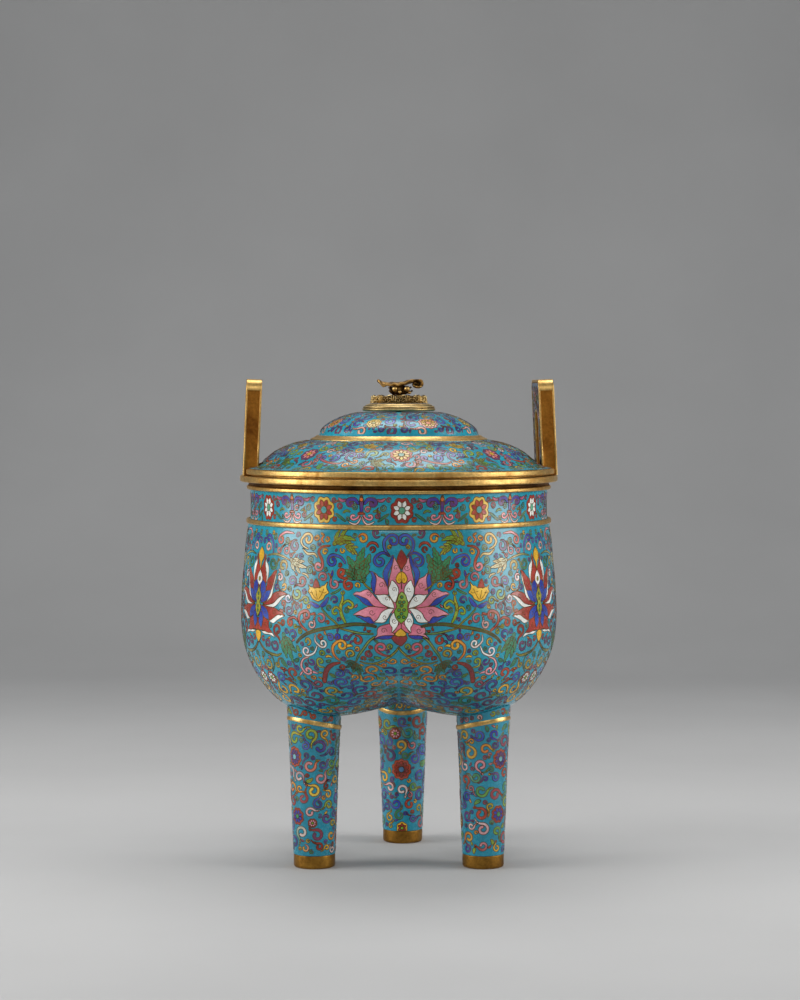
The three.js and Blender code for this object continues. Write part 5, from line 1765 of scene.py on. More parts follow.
# the left half, drawn in the front view
def draw_half():
    h, v = half, front
    P = lambda *a, **k: px(h, v, *a, **k)
    # stems
    P([(377, 627), (368.5, 625), (354, 624.2), (340, 626.3), (325.7, 628.4), (311.4, 631.7), (301.5, 637.2), (296.5, 643)], 2.9, ((52, 58, 24), (96, 102, 36), (52, 58, 24)), tip0=0.7, tip1=0.7)
    P([(374, 634), (361.5, 633.4), (348.5, 630.6), (339, 628)], 1.7, (MGREEN, OLIVE), tip0=0.7)
    P([(340, 627.5), (334, 621), (328.5, 616.5), (321.5, 608)], 1.5, (OLIVE, MGREEN), tip0=0.8, tip1=0.8)
    P([(259.6, 640.5), (262.5, 646), (267.5, 651.5), (277, 655), (282, 653)], 2.4, (BROWN, OLIVE), tip0=0.7)
    P([(263, 648), (271.5, 655), (274.5, 664), (273, 672)], 1.3, MGREEN)
    P([(399.6, 646.6), (396, 651.4), (390.4, 656.4), (383, 660.8), (375, 663.4), (366.5, 663.4), (359.5, 661)], 2.0, (OLIVE, (132, 138, 52)), tip0=0.6)
    P([(375, 636.5), (368.5, 642), (363.5, 649), (358.5, 656), (356, 662)], 2.0, (OLIVE, MGREEN), tip0=0.7)
    P([(362, 580), (366.5, 586), (373, 590.5)], 1.3, OLIVE, tip0=0.8, tip1=0.8)
    # cobalt spirals by the flower's top
    P([(389.5, 556), (385, 549.5), (384.3, 541.5), (388.3, 536.3)], 2.7, (BLUE, COBALT), sp1=(6.3, 1.05, 1), tip0=0.6)
    P([(390.5, 556.5), (383.5, 552.6), (377, 555.5)], 2.5, (COBALT, BLUE), sp1=(6.1, 1.1, -1), tip0=0.6)
    P([(380.5, 536.5), (376, 537.5), (373.5, 534)], 1.9, PURPLE, sp1=(3.0, 0.9, 1))
    P([(366.5, 547.5), (370.5, 543), (376, 543.5), (378.6, 548)], 2.2, (RED, BRICK), tip0=0.4)
    # big acanthus
    h.layer = 0
    acanthus(h, to_local(h, v, [(364.5, 583), (360.5, 573), (360, 561), (364.5, 547)]), 14.5, ((62, 128, 84), MGREEN), 6)
    acanthus(h, to_local(h, v, [(356.5, 580), (351.5, 573), (350, 564)]), 7.0, (MGREEN, DGREEN), 4)
    acanthus(h, to_local(h, v, [(333, 545), (340, 539.5), (348, 538), (356.5, 540.5)]), 8.5, ((138, 150, 40), GREEN), 4)
    acanthus(h, to_local(h, v, [(345, 546), (352, 548.5), (358, 555.5)]), 5.2, (GREEN, (170, 164, 60)), 3)
    # red and blue scrolls between
    P([(331, 545.6), (322.5, 546.8), (319, 552), (322, 559), (323, 565)], 2.5, (RED, BRICK, PINK), sp1=(4.9, 1.15, 1), tip0=0.4)
    P([(346, 564), (341.5, 557.5), (334.5, 554.8)], 2.6, (BLUE, COBALT), sp1=(6.1, 1.15, -1), tip0=0.5)
    P([(333, 570), (332.3, 574), (331.4, 578)], 2.2, COBALT)
    P([(337.2, 548.5), (335.8, 552)], 2.0, PURPLE)
    P([(349.5, 575.5), (345, 578.3), (340.3, 576.6)], 2.6, (RED, BRICK), sp1=(4.3, 1.1, 1), tip0=0.5)
    P([(348.5, 577.5), (344.5, 581.5), (344.8, 586)], 2.6, (BRICK, RED), sp1=(4.3, 1.05, -1), tip0=0.5)
    P([(330.5, 594), (336, 592), (341.5, 588.5)], 1.8, MGREEN)
    # yellow-green palmette
    P([(346, 623.5), (342, 615.5), (340.6, 608), (342.5, 600.5), (343, 594.8)], 3.1, (GREEN, (178, 170, 50)), tip0=0.5, tip1=0.25)
    P([(341.8, 605), (347.5, 600.6), (352, 602.8)], 2.2, (GREEN, (178, 170, 50)), sp1=(3.5, 0.75, 1), tip0=0.7)
    P([(341.5, 611), (336.5, 607), (333.2, 609.4)], 2.0, ((178, 170, 50), GREEN), sp1=(3.2, 0.7, -1), tip0=0.7)
    # bud
    cup = [(308.6, 584.2), (311.3, 587.3), (313.2, 586.6), (315.4, 588.6), (317.4, 586.8), (319.8, 588.4), (322.4, 585.6), (324.3, 585.9), (328.4, 580.8), (326.6, 586.2), (327.2, 589.2), (329.4, 592.6), (325.2, 595.2),
           (323.8, 598.8), (318.3, 601.6), (312.6, 598.6), (310.6, 594.4), (308.2, 591), (310, 588.4), (308.6, 584.2)]
    loc = to_local(h, v, cup)
    h.cell([loc], (YELLOW, (240, 196, 70)), 1, raw=True, grad=(tuple(loc[14]), tuple(loc[4])))
    for q in ([(311.4, 590.2), (313.6, 595.2), (317.4, 599.6)], [(316.2, 590.0), (316.8, 594.6), (318.0, 599.2)], [(324.2, 588.4), (321.9, 594.0), (318.8, 599.4)], [(309.9, 591.6), (311.8, 592.9), (313.3, 592.4)],
              [(327.0, 591.6), (324.8, 593.0), (323.2, 592.2)], [(319.6, 590.4), (320.4, 592.0), (321.7, 591.0)]):
        h.line(to_local(h, v, q), 2, 0.5)
    h.layer = 0
    loc = to_local(h, v, [(313.3, 587.5), (314.3, 582), (316.2, 578), (318.6, 582), (320, 587.5)])
    h.cell([np.vstack([loc, loc[:1]])], (BRICK, RED), 2, raw=True, grad=(tuple(loc[0]), tuple(loc[2])))
    swell(h, to_local(h, v, [(320.5, 606.5), (324.5, 603.5), (329, 596.8)]), 4.6, (COBALT, BLUE), 0, False)
    swell(h, to_local(h, v, [(320, 606.5), (315.5, 605.4), (309.6, 601.5)]), 4.4, (COBALT, BLUE), 0, False)
    # red branching scroll
    P([(307.5, 631), (302, 626), (299, 620), (300, 613.6), (304.5, 610.6)], 2.7, (BRICK, RED), sp1=(4.8, 1.1, 1), tip0=0.6)
    P([(299, 621.5), (294.5, 617.2), (290, 618)], 2.4, (RED, BRICK), sp1=(4.1, 1.05, -1), tip0=0.6)
    P([(301.4, 609), (301.6, 602.5)], 2.2, BRICK)
    P([(310.5, 614.4), (316, 613)], 2.2, BRICK)
    # white and pink S
    P([(315.6, 634), (315.4, 641), (320.5, 646.5)], 2.0, ((214, 190, 186), WHITE), sp1=(4.5, 1.15, -1), tip0=0.4)
    P([(317.5, 645.5), (314.5, 652.5), (309, 655.4)], 2.1, (WHITE, (206, 196, 206)), sp1=(5.0, 1.15, 1), tip0=0.5)
    P([(309.5, 656.6), (303.5, 659), (301.4, 665.5), (304.5, 671.5)], 2.3, ((214, 160, 160), PINK), sp1=(4.9, 1.15, -1), tip0=0.5)
    swell(h, to_local(h, v, [(311.5, 671.5), (315, 672.3), (318.8, 673.8)]), 2.8, PINK, 0, False)
    P([(303, 671), (300, 675.5)], 1.8, PINK)
    # yellow C with its leaf, and the dark red stem under it
    P([(340.3, 661), (334, 654.4), (333, 646.5), (337.8, 641.2)], 2.7, (ORANGE, YELLOW), sp1=(5.5, 1.15, 1), tip0=0.5)
    swell(h, to_local(h, v, [(346, 646.5), (350, 645.4), (353.4, 646.6)]), 3.2, YELLOW, 0, False)
    swell(h, to_local(h, v, [(325.5, 657), (329, 656), (332.8, 657.8)]), 2.6, YELLOW, 0, False)
    P([(340.8, 662.5), (332, 664.8), (326.4, 671), (324.4, 683)], 4.2, (RED, (120, 30, 36), RED), tip0=0.3, tip1=0.8)
    P([(325, 667.5), (319, 665.8), (317.4, 661)], 2.0, ((178, 170, 50), GREEN), sp1=(3.5, 0.95, 1), tip0=0.5)
    # small blue ones
    for x, y, r, a, sg, c in ((330.3, 637.3, 3.2, 200, 1, BLUE), (337.3, 636.4, 2.8, 160, -1, COBALT), (339.5, 673.5, 4.6, 250, 1, (COBALT, BLUE)), (292.6, 581, 4.8, 60, -1, (PURPLE, BLUE)),
                              (288.4, 597.5, 4.2, 330, 1, (BLUE, WHITE)), (280.5, 577, 3.6, 200, 1, (PINK, WHITE)), (268.5, 643, 4.2, 120, 1, PURPLE), (281.5, 612, 2.6, 90, 1, RED)):
        h.at(*v(x, y)); comma(h, r * 1.15, a, 1.2, sg, 2.3, c)
    # red C pair in the lyre
    P([(391.5, 656), (384.5, 655.4), (378, 652)], 2.5, (RED, ROSE), sp1=(5.6, 1.2, 1), tip0=0.4)
    h.at(*v(369.3, 654.3)); comma(h, 4.0, 300, 1.15, -1, 2.3, (RED, PURPLE))
    # leaf clumps low on the left
    h.layer = 0
    acanthus(h, to_local(h, v, [(283, 632), (286, 642), (290, 652), (294, 663)]), 10.0, ((52, 132, 104), MGREEN), 5)
    acanthus(h, to_local(h, v, [(356, 662), (351.5, 664), (346.5, 668)]), 6.2, DGREEN, 3)
    acanthus(h, to_local(h, v, [(357, 663), (357.5, 669), (361, 675)]), 6.0, (DGREEN, MGREEN), 3)
    h.at(*v(283.6, 668)); trefoil(h, 5.0, 100, [RED])
    # above, to the left
    P([(309, 549), (304, 546), (301.6, 540.5), (305, 535)], 2.4, ((214, 186, 110), YELLOW), sp1=(6.1, 1.1, 1), tip0=0.5)
    P([(303, 548), (308, 553.5), (314.5, 553.6), (318, 558)], 2.2, ((214, 186, 110), CREAM))
    P([(295, 533.2), (287, 531.8), (281.3, 534.8)], 2.4, (PINK, BRICK), sp1=(4.6, 1.05, -1), tip0=0.4)
    P([(325, 535), (322, 539.4), (324.5, 543)], 2.0, ORANGE)
    P([(273.8, 553.5), (274, 543), (271.6, 535.4)], 2.3, (BLUE, COBALT), sp1=(3.9, 0.95, -1), tip0=0.3)
    # the stalk's cream end, the pale leaf clump and the cream stroke below are a painted highlight: leaves drawn pale
    # where the left lamp's sheen lies
    P([(268.5, 554.8), (276, 553.6), (284, 556.4), (291, 560.5)], 1.5, (MGREEN, CREAM))
    acanthus(h, to_local(h, v, [(290.5, 558.5), (297, 564), (307.5, 567.5)]), 8.0, ((170, 190, 160), CREAM), 4)
    P([(302, 573), (307, 574.6), (309, 578.4)], 1.8, CREAM)


draw_half()

LEG_XY = [(95.5 * math.sin(math.radians(d)), -95.5 * math.cos(math.radians(d))) for d in (60, 180, 300)]


def off_legs(p):
    gap = np.min([np.hypot(p[:, 0] - x, p[:, 1] - y) - 28.8 for x, y in LEG_XY], axis=0)
    return np.where((p[:, 2] > 190) | (np.hypot(p[:, 0], p[:, 1]) < 40), 99.0, gap)


# what the flowers cover counts too, on the half's own side
half.marks += [m * (-1, 1) for m in full.marks] + list(full.marks) + [m + (-2 * PI / 3, 0) for m in full.marks]
pack_scrolls(half, (-PI / 3, 0), (1.2, 128), [(6.8, 12), (5.8, 18), (4.8, 24), (3.8, 20)], rng, off_legs, (-PI / 3, 0), room=0.5, flowers=0.0)
pack_scrolls(half, (-PI / 3, 0), (120, 306), [(7.8, 40), (6.8, 50), (5.8, 60), (4.8, 60), (3.8, 50), (3.0, 30)], rng, off_legs, (-PI / 3, 0), room=0.3, flowers=0.04)
pack_scrolls(half, (-PI / 3, 0), (1.0, 306), [(3.4, 60), (2.7, 60), (2.0, 40)], rng, off_legs, (-PI / 3, 0), room=0.6, grid=1.2, flowers=0.0)


# ------------------------------------------------------------------ art on the neck
neck_a = Art(neck)
NECK_TURN = math.radians(1.2)
for k in range(12):
    c = NECK_TURN + k * PI / 6
    neck_a.at(c, 15.2)
    if k % 2 == 0:
        rosette(neck_a, 11.2, 8, (RED, BRICK), WHITE, (90, 160, 130), ry=12.6, petal_w=0.46)
    else:
        rosette(neck_a, 11.6, 8, ((220, 180, 70), YELLOW), [RED, BRICK], (70, 150, 150), ry=13.2, petal_w=0.46)
    neck_a.at(c + PI / 12, 14.8, scale=1.13)
    neck_a.layer = 0
    neck_a.stroke([(0, -12.2), (0, -7), (0, 2)], 3.6, (BROWN, PURPLE, COBALT), prof=[0.5, 1.0, 0.8, 0.7])
    neck_a.disc(0, -8.8, 1.7, 1.9, ORANGE, 1)
    for m in (-1, 1):
        M = lambda *q: [(x * m, y) for x, y in q]
        neck_a.stroke(M((2.2, -4.5), (5.5, -8.6), (10, -8.8)), 3.2, (COBALT, PURPLE), (3.0, 0.95, m), tip0=0.5)
        neck_a.stroke(M((13, -8.6), (17, -7.6), (20.4, -9.8)), 2.4, (PURPLE, ROSE), tip0=0.7, tip1=0.2)
        neck_a.stroke(M((1.6, 3.0), (3.0, 6.2), (6.2, 8.0)), 1.7, (ROSE, PINK), (2.6, 0.9, -m), tip0=0.8)
        neck_a.stroke(M((0.6, 5.0), (1.6, 8.6), (4.2, 11.6), (8.2, 11.4), (11.4, 9.4)), 1.4, (PINK, WHITE), tip1=0.4)
        neck_a.stroke(M((23.2, 3.0), (18.4, 6.4), (13.6, 9.8)), 1.9, (MGREEN, DGREEN), tip0=0.3, tip1=0.5)
        neck_a.stroke(M((16.4, 2.8), (13.0, 0.6), (9.6, 1.8)), 1.5, (GREEN, MGREEN), tip0=0.3, tip1=0.6)
    swell(neck_a, [(-3.4, 3.4), (0, 2.6), (3.4, 3.4)], 2.6, (RED, BRICK), 0, False)

neck_b = Art(neck)
neck_b.marks = list(neck_a.marks)
pack_scrolls(neck_b, (NECK_TURN, NECK_TURN + PI / 6), (1.0, neck.length - 1.0), [(3.8, 12), (3.1, 14), (2.5, 8)], rng, None, (NECK_TURN, NECK_TURN + PI / 6), [(NAVY, COBALT), (PURPLE, PLUM), (MGREEN, SAGE), (SAGE, DGREEN), (DUSTY, PLUM), (BRICK, RED)], room=0.4, grid=1.0, flowers=0.0)

# ------------------------------------------------------------------ art on the lid
low_a, up_a = Art(lid_low), Art(lid_up)
low_v, up_v = Front(lid_low, (-1.1, 1.1), (0.5, lid_low.length - 0.5), (240, 190)), Front(lid_up, (-1.1, 1.1), (14, lid_up.length - 0.5), (240, 160))
QUARTER = PI / 4
low_full, up_full = Art(lid_low), Art(lid_up)
s_mid = low_v(400, 455)[1]
for k in range(8):
    low_full.at(k * QUARTER + 0.02, s_mid)
    if k % 2 == 0:
        rosette(low_full, 11.2, 10, (BRICK, RED), [(222, 190, 90), (230, 188, 120)], SAGE, ry=10.8, petal_w=0.4)
    else:
        rosette(low_full, 9.6, 8, (PURPLE, NAVY), [DUSTY, (206, 108, 104)], GOLD, ry=9.8, petal_w=0.44)
s_up = up_v(376, 423)[1]
for k in range(8):
    up_full.at((k + 0.5) * QUARTER + 0.035, s_up)
    if k % 2 == 0:
        rosette(up_full, 10.6, 10, (DUSTY, PLUM), [GOLD], (206, 116, 70), ry=9.2, petal_w=0.4)
    else:
        rosette(up_full, 7.8, 8, ((196, 170, 70), OLIVE), [(214, 186, 96)], OLIVE, petal_w=0.46)
        for j in range(6):
            t = math.radians(20 + 28 * j)
            swell(up_full, [(7.6 * math.cos(t), 7.6 * math.sin(t)), (9.2 * math.cos(t), 9.2 * math.sin(t)), (10.8 * math.cos(t), 10.8 * math.sin(t))], 2.4, (PURPLE, BLUE), 0, False, layer=0)


def draw_lid():
    h, v = low_a, low_v
    P = lambda *a, **k: px(h, v, *a, **k)
    P([(350, 461), (346, 458.5), (348.5, 454.5)], 2.4, (PURPLE, COBALT), sp1=(4.4, 0.95, 1), tip0=0.5)
    P([(356, 448.8), (350, 447.6), (344.5, 449.6)], 2.5, (COBALT, PURPLE), sp1=(4.4, 1.0, -1), tip0=0.4)
    P([(345, 461.5), (338, 463.6), (328, 462.4), (321.5, 459.5)], 2.5, (RED, BRICK, BLUE), sp1=(3.4, 1.0, 1), tip0=0.5)
    P([(366, 463.5), (372, 460.5), (379.5, 461.5), (386, 459)], 1.8, (MGREEN, OLIVE))
    h.layer = 0
    acanthus(h, to_local(h, v, [(364.5, 447.6), (371, 446.2), (379, 446.6)]), 9.0, (OLIVE, YELLOW), 4)
    acanthus(h, to_local(h, v, [(371, 465), (377, 463.4), (385, 464.8)]), 8.0, (DGREEN, GREEN), 4)


draw_lid()
LIDS = [(NAVY, COBALT), (PURPLE, NAVY), (COBALT, BLUE), (PURPLE, PLUM), (MGREEN, DGREEN), (SAGE, MGREEN), (OLIVE, GREEN), (GOLD, OLIVE), (GOLD, YELLOW), (DUSTY, (222, 190, 184)), (DUSTY, PLUM), (BRICK, RED), (ORANGE, GOLD), (BLUE, NAVY)]
low_a.marks += list(low_full.marks)
up_a.marks += list(up_full.marks)
pack_scrolls(low_a, (-QUARTER, 0), (0.2, lid_low.length - 0.5), [(6.8, 14), (6.0, 18), (5.0, 22), (4.0, 22), (3.2, 18)], rng, None, (-QUARTER, 0), LIDS, room=0.3, grid=1.1, flowers=0.0,
             given=[(*low_v(330.5, 451.2), 4.4, (DUSTY, (222, 200, 190))), (*low_v(360.5, 455.5), 5.6, (NAVY, COBALT)), (*low_v(389, 448.5), 5.0, (NAVY, PURPLE))])
pack_scrolls(up_a, (-QUARTER, 0), (28.8, lid_up.length - 0.3), [(7.0, 8), (6.2, 10), (5.4, 14), (4.4, 16), (3.4, 10)], rng, None, (-QUARTER, 0), LIDS, room=0.3, grid=1.0, flowers=0.0,
             given=[(*up_v(361, 431.2), 6.4, (DUSTY, (226, 180, 150))), (*up_v(391, 431.0), 6.2, (NAVY, PURPLE))])
for art, lo, hi in ((low_a, 0.2, lid_low.length - 0.5), (up_a, 28.8, lid_up.length - 0.3)):
    pack_scrolls(art, (-QUARTER, 0), (lo, hi), [(2.6, 16), (2.0, 8)], rng, None, (-QUARTER, 0), LIDS, room=0.45, grid=0.9, flowers=0.0)

# ------------------------------------------------------------------ art on the legs
LEFT_LEG = [(310.7, 735, 6.9, 200, 1, ((178, 170, 50), GREEN)), (325, 733.8, 4.6, 250, 1, YELLOW), (305.4, 746, 4.4, 180, -1, BLUE), (320, 747.4, 7.2, 170, 1, (PURPLE, COBALT)),
            (309.6, 766, 6.2, 280, -1, (ORANGE, PINK)), (320.6, 778.4, 6.0, 230, 1, PINK), (299.2, 777, 5.6, 30, -1, (PURPLE, WHITE)), (313.4, 791.4, 7.0, 100, -1, (YELLOW, (214, 190, 70))),
            (328, 794.4, 4.2, 200, 1, YELLOW), (303, 798.8, 5.6, 150, 1, (RED, ROSE)), (310, 813, 4.9, 320, 1, (WHITE, PINK)), (328.8, 805.2, 4.6, 60, -1, (GREEN, OLIVE)), (301.6, 833, 6.6, 20, -1, (MGREEN, WHITE)),
            (326.4, 818.6, 5.0, 120, 1, (COBALT, PURPLE)), (316.8, 836, 6.8, 250, 1, (RED, PURPLE)), (319, 847.6, 4.6, 300, -1, RED), (331, 835.6, 4.8, 90, -1, (BRICK, YELLOW)), (332, 849.6, 3.8, 200, 1, WHITE),
            (331.6, 763, 4.2, 300, 1, (GREEN, MGREEN)), (334.6, 780, 4.8, 150, -1, (OLIVE, YELLOW)), (334, 736, 4.4, 90, 1, (RED, PURPLE)), (305, 849, 4.2, 140, 1, (PINK, YELLOW))]
RIGHT_LEG = [(464.6, 735.4, 5.4, 30, -1, (OLIVE, YELLOW)), (479, 735.6, 5.6, 120, 1, (COBALT, BLUE)), (494.8, 734.4, 5.2, 220, 1, COBALT), (470.6, 753, 6.6, 160, 1, YELLOW), (485.6, 749.4, 5.4, 340, -1, (YELLOW, ORANGE)),
             (481, 765.6, 6.0, 70, -1, PINK), (465, 766.4, 4.8, 200, 1, (PINK, WHITE)), (465.6, 780, 5.4, 300, 1, (RED, BRICK)), (495.6, 795, 6.0, 120, -1, (RED, ROSE)), (481, 814.6, 6.4, 250, 1, (RED, BRICK)),
             (481.4, 791.4, 6.2, 30, -1, (GREEN, MGREEN)), (467.2, 797, 5.0, 180, 1, (BLUE, COBALT)), (467.6, 816.4, 5.2, 60, 1, (COBALT, PURPLE)), (483, 830, 6.2, 150, -1, (WHITE, PINK)), (497, 832, 5.0, 210, 1, (MGREEN, GREEN)),
             (469, 838, 5.6, 320, 1, (BRICK, YELLOW)), (483, 846.6, 5.0, 30, -1, (RED, PINK)), (495.4, 777.6, 4.8, 100, 1, (PURPLE, BLUE)), (497, 848.4, 4.2, 160, 1, YELLOW)]
REAR_LEG = [(401, 744.6, 5.8, 190, 1, YELLOW), (389, 741.6, 4.4, 40, -1, (COBALT, BLUE)), (412.4, 744.4, 4.6, 320, -1, (RED, PINK)), (390, 787, 5.0, 160, 1, (PINK, WHITE)), (402, 789.6, 5.6, 30, -1, WHITE),
            (413.4, 786, 4.6, 250, 1, (GREEN, MGREEN)), (396, 803.6, 5.4, 300, 1, (BLUE, COBALT)), (409.6, 804, 5.2, 120, -1, (RED, BRICK)), (389.6, 817, 4.6, 60, 1, (OLIVE, YELLOW)), (413, 818, 4.2, 200, -1, (PURPLE, BLUE))]
# darker, duller stand-ins for the bright scroll colours on the legs: painted shade for the shadow the legs stand in
LEG_SHADED_TONES = {WHITE: (216, 194, 190), PINK: DUSTY, YELLOW: GOLD, ROSE: PLUM}
leg_art = {}
for side, rows, flowers in (("left", LEFT_LEG, [(294.6, 756.6, 9.2, 0), (297.4, 816.6, 8.0, 1)]), ("right", RIGHT_LEG, [(500.6, 759, 9.0, 0), (498.6, 814.6, 8.2, 1)]), ("rear", REAR_LEG, [(401.4, 769, 10.6, 2), (402, 828.0, 6.0, 3)])):
    w = legs[side]
    art = Art(w)
    art.scale_w = 0.9
    v = Front(w, (-w.off - 1.5, -w.off + 1.5), (1, w.length - 0.5), (200, 330))
    for x, y, R, kind in flowers:
        art.at(*v(x, y))
        if kind == 0:
            rosette(art, R, 10, (BRICK, RED), [(COBALT, PURPLE)], (110, 170, 180), ry=R * 1.15)
        elif kind == 1:
            rosette(art, R, 8, (RED, BRICK), [COBALT], MGREEN, ry=R * 1.1)
        elif kind == 2:
            rosette(art, R, 10, (BRICK, RED), [(130, 40, 44), RED], (60, 110, 150), ry=R * 1.06)
        else:
            rosette(art, R, 6, YELLOW, [RED], GREEN, ry=R * 1.1)
    placed = [(*v(x, y), R * 1.12, tuple(LEG_SHADED_TONES.get(k, k) for k in c) if isinstance(c[0], tuple) else LEG_SHADED_TONES.get(c, c)) for x, y, R, a, sg, c in rows]
    c0 = -w.off
    for k in (2.1, 4.2):
        for ss in (64, 104, 138):
            art.at(c0 + k + (0.5 if ss == 104 else 0), ss)
            rosette(art, 6.6, 8, (RED, BRICK) if ss != 100 else COBALT, [YELLOW if ss == 100 else PINK], GREEN, ry=7.4)

    tops_az = np.linspace(-PI, PI, 73)
    tops = skin_height(w.cx + 26.6 * np.sin(tops_az), w.cy - 26.6 * np.cos(tops_az))

    def off_ring(p, w=w, tops_az=tops_az, tops=tops):
        ax, ay = p[:, 0] - w.cx, p[:, 1] - w.cy
        ring_z = 141.6 + (ax * math.sin(w.off) - ay * math.cos(w.off)) * math.tan(math.radians(12.5))
        top = np.minimum(np.interp(np.arctan2(ax, -ay), tops_az, tops), 172)
        return np.maximum(ring_z - 2.9 - p[:, 2], np.minimum(p[:, 2] - ring_z - 2.5, top - p[:, 2] - 0.2))
    pack_scrolls(art, (-w.off - PI, -w.off + PI), (1.5, w.length - 0.4), [(7.4, 26), (6.6, 30), (5.8, 34), (5.0, 36), (4.2, 30), (3.4, 24)], rng, off_ring, None, room=0.2, grid=1.25, given=placed, flowers=0.03)
    pack_scrolls(art, (-w.off - PI, -w.off + PI), (1.2, w.length - 0.4), [(2.7, 30), (2.0, 24)], rng, off_ring, None, room=0.6, grid=1.1, flowers=0.0)
    leg_art[side] = art


# ------------------------------------------------------------------ art on the handle plates
plate_art = []
for side in ("right", "left"):
    go = handle_place(side)
    for face, x, sg in (("outer", 7.66, 1), ("inner", -7.66, -1)):
        o, e, d = go(np.array([[x, 0, 0], [x, 1.0, 0], [x, 0, 1.0]]))
        w = Flat(o, (e - o) * sg, -(d - o))
        art = Art(w)
        art.scale_w = 0.9
        art.at(0, -76.8)
        rosette(art, 6.4, 8, (RED, BRICK), [PINK], GREEN)
        for k, y in enumerate((12, 24, 36, 48, 60)):
            for m in (-1, 1):
                art.at(m * 22.0, -y, 0, 1, m < 0, 0)
                comma(art, 4.0, 90 if k % 2 else 270, 1.15, 1 if k % 2 else -1, 1.9, (COBALT, RED, YELLOW, GREEN, PINK)[k] if k != 0 else BLUE)
        outl = loop_outline(27.2, HH - 3.8, 7.0, 16.8, AT + 3.8, 4.8)

        def in_plate(p, w=w, outl=outl):
            q = np.column_stack([(p - w.o) @ w.e, -((p - w.o) @ w.d)])
            return np.where(inside(q, outl), edge_gap(q, outl), -1.0)
        pack_scrolls(art, (-27, 27), (-90, -4), [(5.0, 14), (4.0, 18), (3.2, 24), (2.4, 24)], rng, in_plate, None, room=0.3, grid=1.1)
        pack_scrolls(art, (-27, 27), (-90, -4), [(2.0, 16)], rng, in_plate, None, room=0.6, grid=1.1, flowers=0.0)
        plate_art.append((f"{face}_{side}", w, art, in_plate))

# ------------------------------------------------------------------ put the art on
for k in range(3):
    turn = k * 2 * PI / 3
    bake_art(f"bowl_cells_{k + 1}", bowl, turned_copies(full.fill, [turn]) + turned_copies(half.fill, [turn], True), M_CELL, "vessel")
    bake_art(f"bowl_wires_{k + 1}", bowl, turned_copies(full.wire, [turn]) + turned_copies(half.wire, [turn], True), M_WIRE, "vessel")

TWELVE = [k * PI / 6 for k in range(12)]
bake_art("neck_cells", neck, neck_a.fill + turned_copies(neck_b.fill, TWELVE), M_CELL, "vessel")
bake_art("neck_wires", neck, neck_a.wire + turned_copies(neck_b.wire, TWELVE), M_WIRE, "vessel")
EIGHT = [k * QUARTER for k in range(8)]
near = lambda p: in_notch(p, 0.6)
bake_art("lid_lower_cells", lid_low, low_full.fill + turned_copies(low_a.fill, EIGHT), M_CELL, "lid", near)
bake_art("lid_lower_wires", lid_low, low_full.wire + turned_copies(low_a.wire, EIGHT), M_WIRE, "lid", near)
bake_art("lid_upper_cells", lid_up, up_full.fill + turned_copies(up_a.fill, EIGHT), M_CELL, "lid")
bake_art("lid_upper_wires", lid_up, up_full.wire + turned_copies(up_a.wire, EIGHT), M_WIRE, "lid")
for side, art in leg_art.items():
    bake_art(f"leg_cells_{side}", legs[side], art.fill, M_CELL, "vessel")
    bake_art(f"leg_wires_{side}", legs[side], art.wire, M_WIRE, "vessel")
for name, w, art, in_plate in plate_art:
    off_plate = lambda p, f=in_plate: f(p) < 0.2
    bake_art(f"plate_cells_{name}", w, art.fill, M_CELL, "vessel", off_plate)
    bake_art(f"plate_wires_{name}", w, art.wire, M_WIRE, "vessel", off_plate)

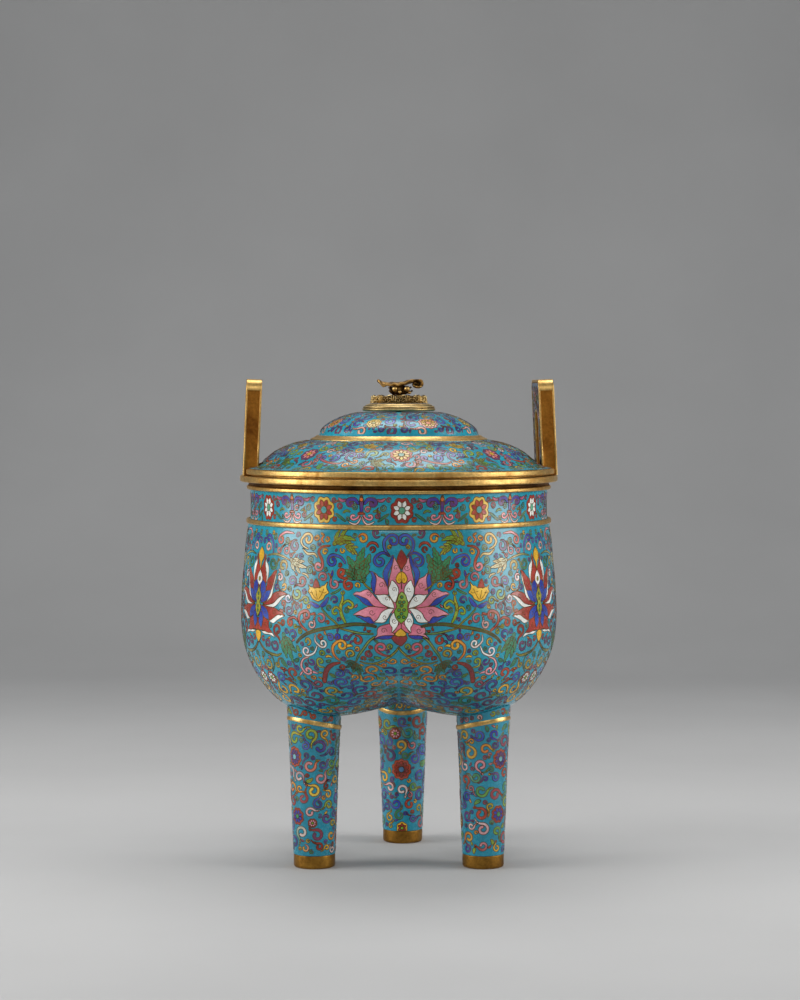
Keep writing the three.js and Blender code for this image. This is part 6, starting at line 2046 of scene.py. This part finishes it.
# ------------------------------------------------------------------ stage, light, camera
def stage():
    m, nt, b = new_mat("pale_floor")
    co = nt.nodes.new("ShaderNodeTexCoord").outputs["Object"]
    c = ramp(nt, noise(nt, 2.5, 4, 0.5, co), [(0.3, 0.50), (0.7, 0.54)])
    nt.links.new(c, b.inputs["Base Color"])
    b.inputs["Roughness"].default_value = 0.7
    prof = [(-3.2, 0.0), (1.6, 0.0)] + [(1.6 + 1.2 * math.sin(t), 1.2 - 1.2 * math.cos(t)) for t in np.linspace(0.1, PI / 2, 14)] + [(2.8, 4.2)]
    v, f = [], []
    for y, z in prof:
        v += [(-5, y, z), (5, y, z)]
    for i in range(len(prof) - 1):
        f.append((2 * i, 2 * i + 1, 2 * i + 3, 2 * i + 2))
    me = bpy.data.meshes.new("floor")
    me.from_pydata(v, [], f)
    me.polygons.foreach_set("use_smooth", [True] * len(me.polygons))
    me.materials.append(m)
    o = bpy.data.objects.new("floor", me)
    bpy.context.scene.collection.objects.link(o)


stage()


def softbox(name, loc, target, size, power, colour=(1, 1, 1)):
    d = bpy.data.lights.new(name, "AREA")
    d.shape, d.size, d.size_y, d.energy, d.color = "RECTANGLE", size[0], size[1], power, colour
    o = bpy.data.objects.new(name, d)
    o.location = loc
    o.rotation_euler = (Vector(target) - Vector(loc)).to_track_quat("-Z", "Y").to_euler()
    bpy.context.scene.collection.objects.link(o)
    return o


softbox("key_left", (-1.55, -0.35, 0.75), (0, 0, 0.27), (0.9, 1.2), 19.5, (1.0, 0.985, 0.96))
softbox("key_right", (1.55, -0.30, 0.75), (0, 0, 0.27), (0.9, 1.2), 16.5, (1.0, 0.985, 0.96))
softbox("top", (0, 0.35, 1.75), (0, 0, 0.35), (1.1, 0.8), 12)
softbox("front_fill", (0, -2.2, 1.5), (0, 0, 0.2), (1.6, 0.8), 10)

world = bpy.data.worlds.new("studio")
world.use_nodes = True
world.node_tree.nodes["Background"].inputs[0].default_value = (0.62, 0.64, 0.66, 1)
world.node_tree.nodes["Background"].inputs[1].default_value = 0.38
bpy.context.scene.world = world
bpy.context.scene.view_settings.view_transform = "Standard"
bpy.context.scene.view_settings.look = "None"
bpy.context.scene.view_settings.exposure = 0.0

cam = bpy.data.cameras.new("camera")
cam.lens = 2567.3 / 1000 * 36
cam.sensor_width = 36
cam.sensor_fit = "AUTO"
cam.clip_start, cam.clip_end = 0.05, 30
co = bpy.data.objects.new("camera", cam)
co.location = (0.0012, -2.55, 0.4649)
co.rotation_euler = (math.radians(90 - 2.4147), 0, 0)
bpy.context.scene.collection.objects.link(co)
bpy.context.scene.camera = co

bpy.context.view_layer.update()
